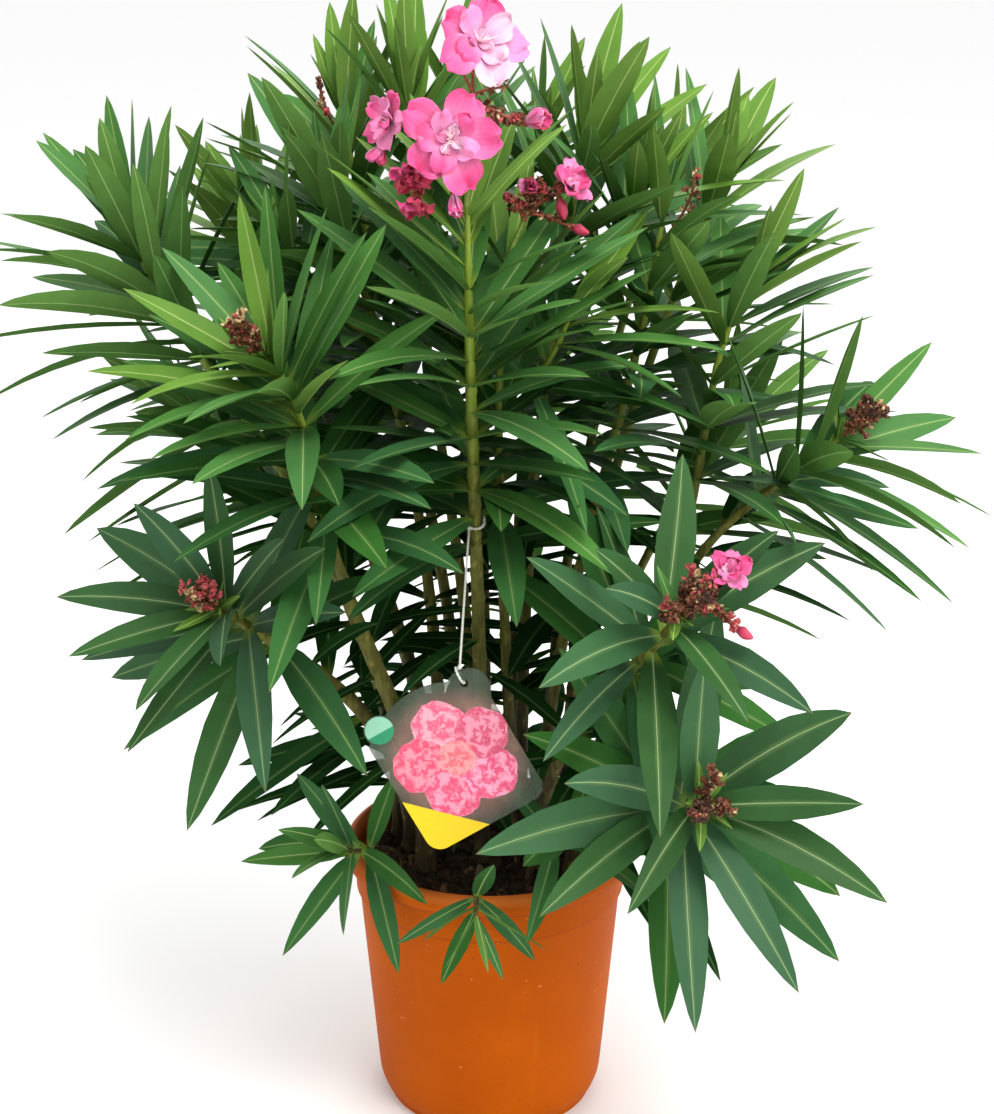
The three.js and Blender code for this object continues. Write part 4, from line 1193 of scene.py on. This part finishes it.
BLOOMS = {  # rings of petals from the outside in: tints, length, width, tilt and ruffle
    "pale": (
        (("pale", "hot", "hot", "hot", "white"), 1.06, 0.98, (52, 92), 0.07),
        (("white", "pale", "hot", "white"), 0.82, 0.7, (36, 74), 0.09),
        (("white", "pale", "white"), 0.42, 0.3, (16, 60), 0.12),
    ),
    "hot": (
        (("hot",) * 5, 1.08, 0.98, (54, 94), 0.08),
        (("hot", "pale", "hot", "hot", "pale"), 0.82, 0.64, (40, 78), 0.1),
        (("white", "pale", "white", "white"), 0.46, 0.3, (14, 66), 0.14),
    ),
    "loose": (
        (("pale", "hot", "pale", "hot", "pale"), 1.1, 0.9, (44, 84), 0.06),
        (("pale", "pale", "hot", "pale", "pale", "hot"), 0.86, 0.66, (26, 62), 0.08),
        (("hot", "pale", "hot", "pale"), 0.5, 0.44, (6, 40), 0.1),
    ),
    "cup": (
        (("hot", "pale", "hot", "hot", "pale"), 1.12, 0.9, (24, 78), 0.1),
        (("hot", "hot", "pale", "hot"), 1.0, 0.7, (10, 50), 0.12),
        (("pale", "white", "hot"), 0.8, 0.5, (4, 30), 0.12),
    ),
    "deep": (
        (("deep", "deep", "hot", "deep", "deep"), 1.2, 0.8, (20, 76), 0.14),
        (("deep", "hot", "deep", "deep"), 1.1, 0.7, (8, 46), 0.16),
        (("deep",) * 4, 0.9, 0.5, (2, 24), 0.16),
    ),
    "closed": (
        (("pale", "hot", "pale", "hot"), 1.9, 1.3, (14, 14), 0.06),
        (("white", "pale", "hot"), 1.75, 0.9, (4, 10), 0.08),
    ),
    "half": (
        (("hot", "hot", "pale", "deep"), 1.7, 1.4, (22, 20), 0.06),
        (("hot", "deep", "hot"), 1.5, 1.0, (8, 14), 0.08),
    ),
}
OPEN_KINDS = ("pale", "hot", "loose")


def open_bloom(centre, face, radius, kind, random):
    """A double flower: rings of ruffled petals, and its pale threads where it is fully open."""
    axis = unit(vec(face))
    back = centre - axis * radius * (0.2 if kind in OPEN_KINDS else 0.6)
    for i, (tints, length, width, tilt, ruffle) in enumerate(BLOOMS[kind]):
        size = radius * length
        add_petals(tints, back, face, i * 0.6, size, radius * width, tilt, ruffle, random)
    if kind not in OPEN_KINDS:
        return
    for _ in range(int(radius * 0.4)):
        lean = unit(axis + random.normal(0, 0.42, 3))
        reach = radius * random.uniform(0.22, 0.42)
        t = np.linspace(0, 1, 5)[:, None]
        curl = random.normal(0, 0.16, 3)
        centres = back + axis * radius * 0.1 + lean * reach * t + curl * reach * t**2
        filament_skins.append(tube(centres, np.linspace(0.65, 0.3, 5), 4, level=(0.3, 0.5, 0.8)))


def calyx(at, face, radius, reach):
    """Five narrow sepals behind a flower, as one small cup of drops."""
    axis = unit(vec(face))
    right, front = square_to(axis)
    for i in range(5):
        heading = i * 2 * math.pi / 5
        lean = axis * 0.85 + (right * math.cos(heading) + front * math.sin(heading)) * 0.55
        stalk_skins.append(oval(at, lean, radius * 0.09 + 0.4, radius * reach + 3, 1, 5, 4))


PETALS = {  # heart, rim and blush
    "white": ("dc8cb4", "dcaec4", "d090b4"),
    "pale": ("e0a0c2", "de7cae", "d8609c"),
    "hot": ("e098c0", "da4686", "d03276"),
    "deep": ("98183e", "c83456", "ae2044"),
}


def make_flowers():
    """Every truss: a green stalk to the fork, a red-brown pedicel to each flower, and the flowers."""
    random = np.random.default_rng(11)
    for truss in TRUSSES.values():
        path = path_of[truss["on"]]
        along = path.along(1.0)
        foot = path.at(1.0) + along * 0.3
        fork = foot + vec(truss["fork"])
        stalk = Path(foot - along * 3, along, fork, unit(fork - foot))
        t = np.linspace(0, 1, 14)
        stalk_skins.append(tube(stalk.at(t), truss["radius"] * (1 - 0.2 * t), 8))
        for at, radius, face, kind in truss["blooms"]:
            centre = foot + vec(at)
            face = vec(face)
            back = centre - unit(face) * radius * (0.22 if kind in OPEN_KINDS else 0.65)
            pedicel = Path(fork - (fork - foot) * 0.03, unit(back - fork + UP * 12), back, unit(face))
            stalk_skins.append(tube(pedicel.at(t), 1.35 - 0.2 * t, 7, slots=1))
            calyx(back - unit(face) * 2, face, radius, 0.1 if kind in OPEN_KINDS else 0.3)
            if kind == "bud":
                petal_skins["deep"].append(
                    oval(back, face, radius * 0.5, radius * 1.9, 0, 10, 8, 1.6, 0.8))
            else:
                open_bloom(centre, face, radius, kind, random)
            keep_open(centre, radius * 0.85)
        for start, end, count in truss["dry"]:
            stalk = Path(foot + vec(start), UP, foot + vec(end), unit(vec(end) - vec(start)))
            stalk_skins.append(tube(stalk.at(t), 1.2 - 0.3 * t, 6, slots=1))
            crust(stalk, 0.3, 3.6, count, DRY_MIX["flowering"], random)
            keep_open(stalk.at(0.8), 11)
    for tint, colours in PETALS.items():
        make_piece("petals_" + tint, petal_skins[tint], [petal_look(tint, *colours)],
                   flower_nodes, sharp=60)
    looks = [mottled("stalk_green", "6f8a34", "93a850", 120),
             mottled("stalk_red", "7a3a24", "a85a3c", 200)]
    make_piece("flower_stalks", stalk_skins, looks, flower_nodes)
    make_piece("flower_threads", filament_skins, [mottled("threads", "f6dce0", "fff4f0", 300)],
               flower_nodes)


DRY_LOOKS = (  # a name, its dark and its light, and how many patches to a metre
    ("dry_brown", "4e2818", "8e5436", 500), ("dry_red", "8c2a30", "cc5c5c", 400),
    ("dry_straw", "a8804e", "e0c89c", 500), ("dry_dark", "2a160e", "58301f", 500),
)
DRY_MIX = {  # how often each of those falls
    "brown": (0.56, 0.06, 0.14, 0.24),
    "rust": (0.5, 0.26, 0.16, 0.08),
    "pink": (0.3, 0.52, 0.14, 0.04),
    "flowering": (0.44, 0.32, 0.1, 0.14),
}


def crust(stalk, start, spread, count, mix, random):
    """Dry stubs and shrivelled flowers crowded along a stalk.

    The stubs are small twisted spindles that leave it. Every sixth is a shrivelled flower: a few
    narrow, closed petals, all crumpled.
    """
    for i in range(2 * count):
        way = random.uniform(start, 1.0)
        out = stalk.along(way)
        lean = unit(out * 0.7 + random.normal(0, 0.6, 3))
        tint = int(random.choice(4, p=mix))
        at = stalk.at(way) + lean * random.uniform(0, spread)
        if i % 6 == 0:
            headings = random.uniform(0, 2 * np.pi, 3)
            size = random.uniform(5, 9)
            crumpled = petals(at, lean, headings, size, size * 0.6, (6, 46), 0.2, random)
            rings, first, last, marks = crumpled
            spent_skins.append(loft(rings[:, ::2], first, last, tint, (marks[0][:, ::2], *marks[1:])))
        else:
            size = random.uniform(0.7, 1.6)
            long = size * random.uniform(2.5, 5.0)
            spent_skins.append(oval(at, lean, size, long, tint, 5, 4, random.uniform(-2, 2)))


def make_spent_heads():
    """What old trusses leave at a tip: short stalks by the source's rule, crusted with dry stubs."""
    nodes = list(flower_nodes)
    for seed, (name, plant, path, *_) in enumerate(main_twigs, 1):
        if not plant.get("spent"):
            continue
        nodes.append(f"foliage_{name}")
        draw = lehmer(seed)
        random = np.random.default_rng(seed)
        axes = path.axes(1.0)
        tip = path.at(1.0) - axes[0] * TIP_RADIUS
        for i in range(SPENT["stalks"]):
            around = i * 2 * math.pi / SPENT["stalks"] + next(draw)
            tilt = math.radians(SPENT["tilt"] + SPENT["spread"] * next(draw)) * plant.get("slim", 1)
            length = SPENT["length"] + SPENT["extra"] * next(draw)
            out = leaf_spot(tip, axes, around, tilt, length, 0)["out"]
            stalk = Path(tip, out, tip + out * length, out)
            t = np.linspace(0, 1, 6)
            spent_skins.append(tube(stalk.at(t), 1.5 - 0.3 * t, 6))
            crust(stalk, 0.25, 4.2, 34, DRY_MIX[plant["spent"]], random)
    for name, reach in OLD_HEADS.items():
        path = path_of[name]
        random = np.random.default_rng(len(name))
        stalk = Path(path.at(0.95), unit(vec(reach)), path.at(1.0) + vec(reach), UP)
        spent_skins.append(tube(stalk.at(np.linspace(0, 1, 8)), np.full(8, 1.2), 6))
        crust(stalk, 0.45, 3, 12, DRY_MIX["rust"], random)
    make_piece("spent_heads", spent_skins, [mottled(*look) for look in DRY_LOOKS], nodes)


# ---------------------------------------------------------------- build: tag and string


def tag_matrix():
    """Where the tag hangs, from its own flat frame, in millimetres."""
    lean = Euler((math.radians(90 + TAG["lean"]), 0, 0)).to_matrix().to_4x4()
    turn = Euler((0, 0, math.radians(TAG["turn"]))).to_matrix().to_4x4()
    return Matrix.Translation(TAG["centre"]) @ lean @ turn


def tag_outline(count=260):
    """The outline round the tag's middle: the furthest of the arched plate, the ear and the tab."""
    middle = (TAG["left"] + TAG["right"]) / 2
    centre = vec((middle, 0))
    angle = 2 * np.pi * np.arange(count) / count
    ray = np.stack([np.cos(angle), np.sin(angle)], -1)
    reach = np.linspace(0, 90, 900)[None]
    x = centre[0] + ray[:, :1] * reach
    y = centre[1] + ray[:, 1:] * reach
    half = (TAG["right"] - TAG["left"]) / 2
    share = (x - middle) / half
    arch = TAG["shoulder"] + (TAG["crown"] - TAG["shoulder"]) * (1 - share**2)
    low = TAG["bottom"] + TAG["corner"]
    side = half - TAG["corner"]
    corner = np.hypot(np.clip(abs(x - middle) - side, 0, None), np.clip(low - y, 0, None))
    inside = (abs(x - middle) <= half) & (y <= arch) & (y >= TAG["bottom"]) & (corner <= TAG["corner"])
    for cx, cy, radius in (TAG["ear"], TAG["tab"]):
        inside |= np.hypot(x - cx, y - cy) <= radius
    furthest = (reach * inside).max(1)
    return centre + ray * furthest[:, None]


def closed_line(curve, points):
    """Adds one closed straight-sided spline to a flat curve."""
    line = curve.splines.new("POLY")
    line.points.add(len(points) - 1)
    flat = np.concatenate([points, np.zeros((len(points), 1)), np.ones((len(points), 1))], 1)
    line.points.foreach_set("co", flat.ravel())
    line.use_cyclic_u = True


def make_tag():
    """A plate with its hanging hole, cut from a flat curve, made a mesh and then put in place."""
    curve = bpy.data.curves.new("tag_outline", "CURVE")
    curve.dimensions = "2D"
    curve.fill_mode = "BOTH"
    curve.extrude = TAG["thickness"] / 2 - 0.12
    curve.bevel_depth = 0.12
    curve.bevel_resolution = 1
    curve.offset = -0.12
    closed_line(curve, tag_outline())
    x, y, radius = TAG["hole"]
    angle = 2 * np.pi * np.arange(28) / 28
    closed_line(curve, np.stack([x + radius * np.cos(angle), y + radius * np.sin(angle)], -1))
    holder = in_scene("tag_outline", curve)
    bpy.context.view_layer.update()
    mesh = bpy.data.meshes.new_from_object(holder.evaluated_get(bpy.context.evaluated_depsgraph_get()))
    bpy.data.objects.remove(holder)
    mesh.name = "plant_tag"
    mesh.transform(Matrix.Translation((0, 0, TAG["thickness"] / 2)))
    mesh.transform(Matrix.Scale(MM, 4) @ tag_matrix())
    mesh.materials.clear()
    mesh.polygons.foreach_set("material_index", np.zeros(len(mesh.polygons), np.int32))
    dress(mesh, [tag_print()], ["tag"])


TAG_DISCS = (  # x, y, radius, and the dark and the light of its ripples: five petals and their heart
    (6, 31, 21, "e0587c", "f6a4b4"), (-21, 12, 21, "d84468", "f28c9c"),
    (-10, -18, 21, "d8446c", "f494ac"), (22, -18, 21, "dc4a74", "f8a0bc"),
    (32, 12, 20, "cc4a6c", "ee94ac"), (6, 4, 14, "e4606c", "f6989c"),
)


def tag_print():
    """Clear glossy plastic printed with a crinkled pink flower, a yellow corner and a green tab."""
    look = Look("tag_plastic", Roughness=0.22, Specular_IOR_Level=0.35)
    matrix = tag_matrix()
    back = matrix.to_3x3().transposed()
    moved = look.node("ShaderNodeVectorMath", {"operation": "SUBTRACT"},
                      {0: look.place, 1: Vector(TAG["centre"]) * MM})
    turned = look.node("ShaderNodeMapping", {}, {"Vector": moved, "Rotation": back.to_euler()})
    x = look.part(turned, "X") * 1000
    y = look.part(turned, "Y") * 1000

    def away(cx, cy):
        return ((x - cx) ** 2 + (y - cy) ** 2).root()

    ground = look.mix(look.noise(30, 3), paint("1c2a20"), paint("5c6e58"))
    ink = look.noise(45, 2).between(0.3, 0.8) * 0.25 + 0.45
    crinkle = look.noise(110, 4, 0.7) * 17
    glow = 1 - away(6, 4).between(38, 60)
    ground = look.mix(glow * 0.5, ground, paint("c88c84"))
    for cx, cy, size, dark, light in TAG_DISCS:
        distance = away(cx, cy)
        turn = (y - cy).heading(x - cx)
        scallop = (turn * 5 + distance * 0.35 + crinkle * 0.4).sine()
        wave = (distance * 0.5 + scallop + crinkle).sine()
        disc = look.mix(wave * 0.5 + 0.5, paint(dark), paint(light))
        inside = 1 - (distance + scallop * 0.8 + crinkle * 0.3).between(size + 2.3, size + 2.9)
        ground = look.mix(inside, ground, disc)
        ink = ink + inside
    panel = 1 - (x + y).between(-53.6, -53)
    ground = look.mix(panel, ground, paint("ecc400"))
    tab = 1 - away(*TAG["tab"][:2]).between(10.6, 11.2)
    green = look.mix((y - 50).between(-0.3, 0.3), paint("1f8a60"), paint("8cc4a8"))
    ground = look.mix(tab, ground, green)
    look.colour(ground)
    look.feed(look.skin.inputs["Alpha"], (ink + panel + tab).between(0.0, 1.0))
    look.roughness(0.2 + look.noise(60, 3) * 0.15)
    return look


def twisted(centres, level, turns):
    """Two strands wound round each other along a line of centres."""
    front, right = square_to(unit(np.gradient(centres, axis=0)), level)
    angle = np.linspace(0, 2 * np.pi * turns, len(centres))[:, None]
    for half in (0, np.pi):
        wound = (right * np.cos(angle + half) + front * np.sin(angle + half)) * STRING["apart"]
        yield tube(centres + wound, STRING["strand"], 6, level)


def height_share(path, height):
    """The share at which a path that rises all the way passes a height."""
    t = np.linspace(0, 1, 4000)
    return float(np.interp(height, path.at(t)[:, 2], t))


KNOT_LEANS = ((1, 0.2, 0.4), (-0.8, 0.3, 0.5), (0.1, -0.6, -1), (0.4, -0.5, 0.9))


def make_string():
    """A string of two strands: a sling round the stem, the fall, a ring in the hole and knots."""
    centre_path = path_of["front_centre"]
    knot = centre_path.at(height_share(centre_path, STRING["knot"]))
    angle = np.linspace(0, 2 * np.pi, 60)[:, None]
    loop = knot + STRING["loop"] * (vec((1, 0, 0)) * np.sin(angle) - vec((0, 1, 0)) * np.cos(angle))
    rise = UP * (1 - np.cos(angle)) / 2
    matrix = tag_matrix()
    hole_x, hole_y, hole_radius = TAG["hole"]
    edge = TAG["ear"][1] + TAG["ear"][2]
    middle = Vector((hole_x, (hole_y + hole_radius + edge) / 2, TAG["thickness"] / 2))
    centre = vec(matrix @ middle)
    axes = matrix.to_3x3()
    up = vec(axes @ Vector((0, 1, 0)))
    out = vec(axes @ Vector((0, 0, 1)))
    ring = centre + STRING["ring"] * (up * np.cos(angle) + out * np.sin(angle))
    top = knot - STRING["loop"] * vec((math.sin(STRING["lead"]), math.cos(STRING["lead"]), 0))
    fall = unit(centre + UP * STRING["ring"] - top)
    line = Path(top, fall, centre + UP * STRING["ring"], fall)
    t = np.linspace(0, 1, 220)
    skins = [
        *twisted(loop + rise * 4, (0, 0, 1), 7),
        *twisted(loop + rise * 10, (0, 0, 1), 7),
        *twisted(line.at(t), (1, 0, 0), STRING["turns"]),
        *twisted(ring, tuple(vec(axes @ Vector((1, 0, 0)))), 6),
    ]
    for at in (line.at(0.0), line.at(1.0)):
        for lean in KNOT_LEANS:
            skins.append(oval(at - unit(vec(lean)) * 2, lean, 1.1, 4, 0, 7, 5))
    make_piece("tag_line", skins, [mottled("string", "d8d6cc", "f6f4ee", 900, 0.85)],
               ["tag_string"])


# ---------------------------------------------------------------- the studio

LAMPS = (  # a name, where it is, its size, both in metres, its watts and its colour
    ("key", (0.55, -1.2, 2.9), 1.3, 60, (1, 0.98, 0.94)),
    ("fill", (1.9, -1.5, 1.7), 1.6, 28, (1, 1, 0.98)),
    ("back", (0.4, 2.2, 2.4), 1.8, 24, (1, 1, 0.98)),
)


def make_studio():
    """A wide pale floor, one large soft key light, two fills, and the camera."""
    scene = bpy.context.scene
    mesh = bpy.data.meshes.new("floor")
    mesh.from_pydata([(-16, -16, 0), (16, -16, 0), (16, 16, 0), (-16, 16, 0)], [], [(0, 1, 2, 3)])
    look = Look("floor", Roughness=0.9, Base_Color=(0.92, 0.92, 0.92, 1))
    mesh.materials.append(look.material)
    floor = in_scene("floor", mesh)
    for name, place, size, watts, tone in LAMPS:
        light = bpy.data.lights.new(name, "AREA")
        light.energy = watts
        light.size = size
        light.color = tone
        lamp = in_scene(name, light)
        lamp.location = place
        lamp.rotation_euler = (Vector((0, 0, 0.5)) - Vector(place)).to_track_quat("-Z", "Y").to_euler()
    world = bpy.data.worlds.new("studio")
    world.use_nodes = True
    sky = world.node_tree.nodes["Background"]
    sky.inputs["Color"].default_value = (1, 1, 1, 1)
    sky.inputs["Strength"].default_value = 1.03
    scene.world = world
    scene.view_settings.view_transform = "Standard"
    camera = in_scene("camera", bpy.data.cameras.new("camera"))
    camera.data.lens = 78.1
    camera.data.sensor_width = 36
    camera.location = VIEWER * MM
    camera.rotation_euler = (math.radians(70.5), 0, 0)
    scene.camera = camera


def keep_open(centre, radius):
    """Marks a round shaft where no leaf grows, from behind a place towards the viewer."""
    shaft = np.array([-0.7 * radius, 0.3 * radius, 0.5 * SHAFT, SHAFT])[:, None]
    skin = tube(centre + unit(VIEWER - centre) * shaft, np.full(4, radius), 8)
    clearings.append(tree_of(skin.points, skin.quads, skin.tris))


KEPT_OPEN = (((52, -100, 120), 40), ((18, -150, 256), 16))  # the pot's side, and before its compost


def keep_clear():
    """Marks where no leaf grows: the pot, the tag, and before the tag, the string and its stem."""
    skin = lathe(vec(POT_OUTLINE)[3:13:3, :2], 24, 0, 230)
    clearings.append(tree_of(skin.points, skin.quads))
    for centre, radius in KEPT_OPEN:
        keep_open(vec(centre), radius)
    edge = vec([tag_matrix() @ Vector((x, y, 0)) for x, y in tag_outline(24)])
    way = unit(VIEWER - edge)
    rings = np.stack([edge - way * 6, edge + way * SHAFT])
    skin = loft(rings[None], rings[:1].mean(1), rings[1:].mean(1))
    clearings.append(tree_of(skin.points, skin.quads, skin.tris))
    for _, plant, path, *_ in twigs:
        if plant.get("spent"):
            keep_open(path.at(1.0) + path.along(1.0) * 22, 13)
    for name, reach in OLD_HEADS.items():
        keep_open(path_of[name].at(1.0) + vec(reach) * 0.7, 8)
    stem = path_of["front_centre"].at(np.linspace(0.3, 1.0, 12))
    for aside in (-3.5, 0, 3.5):
        near = stem + vec((aside, -6, 0))
        curtain = np.concatenate([near, near + unit(VIEWER - near) * SHAFT])
        k = np.arange(len(near) - 1)[:, None]
        faces = k + np.array([0, 1, len(near) + 1, len(near)])
        clearings.append(tree_of(curtain, faces))


# ---------------------------------------------------------------- the plant in its pot

foliage_nodes = sorted(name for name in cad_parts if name.startswith("foliage_"))
flower_nodes = [f"flowers_{name}" for name in TRUSSES]
main_twigs = list(twigs)
side_twigs = [side_twig(*twig[:4]) for twig in main_twigs if "side" in twig[1]]
twigs.extend(side_twigs)

make_studio()
make_pot()
make_soil()
make_limbs()
make_flowers()
make_tag()
make_string()
keep_clear()
grow_foliage()
make_foliage()
make_spent_heads()
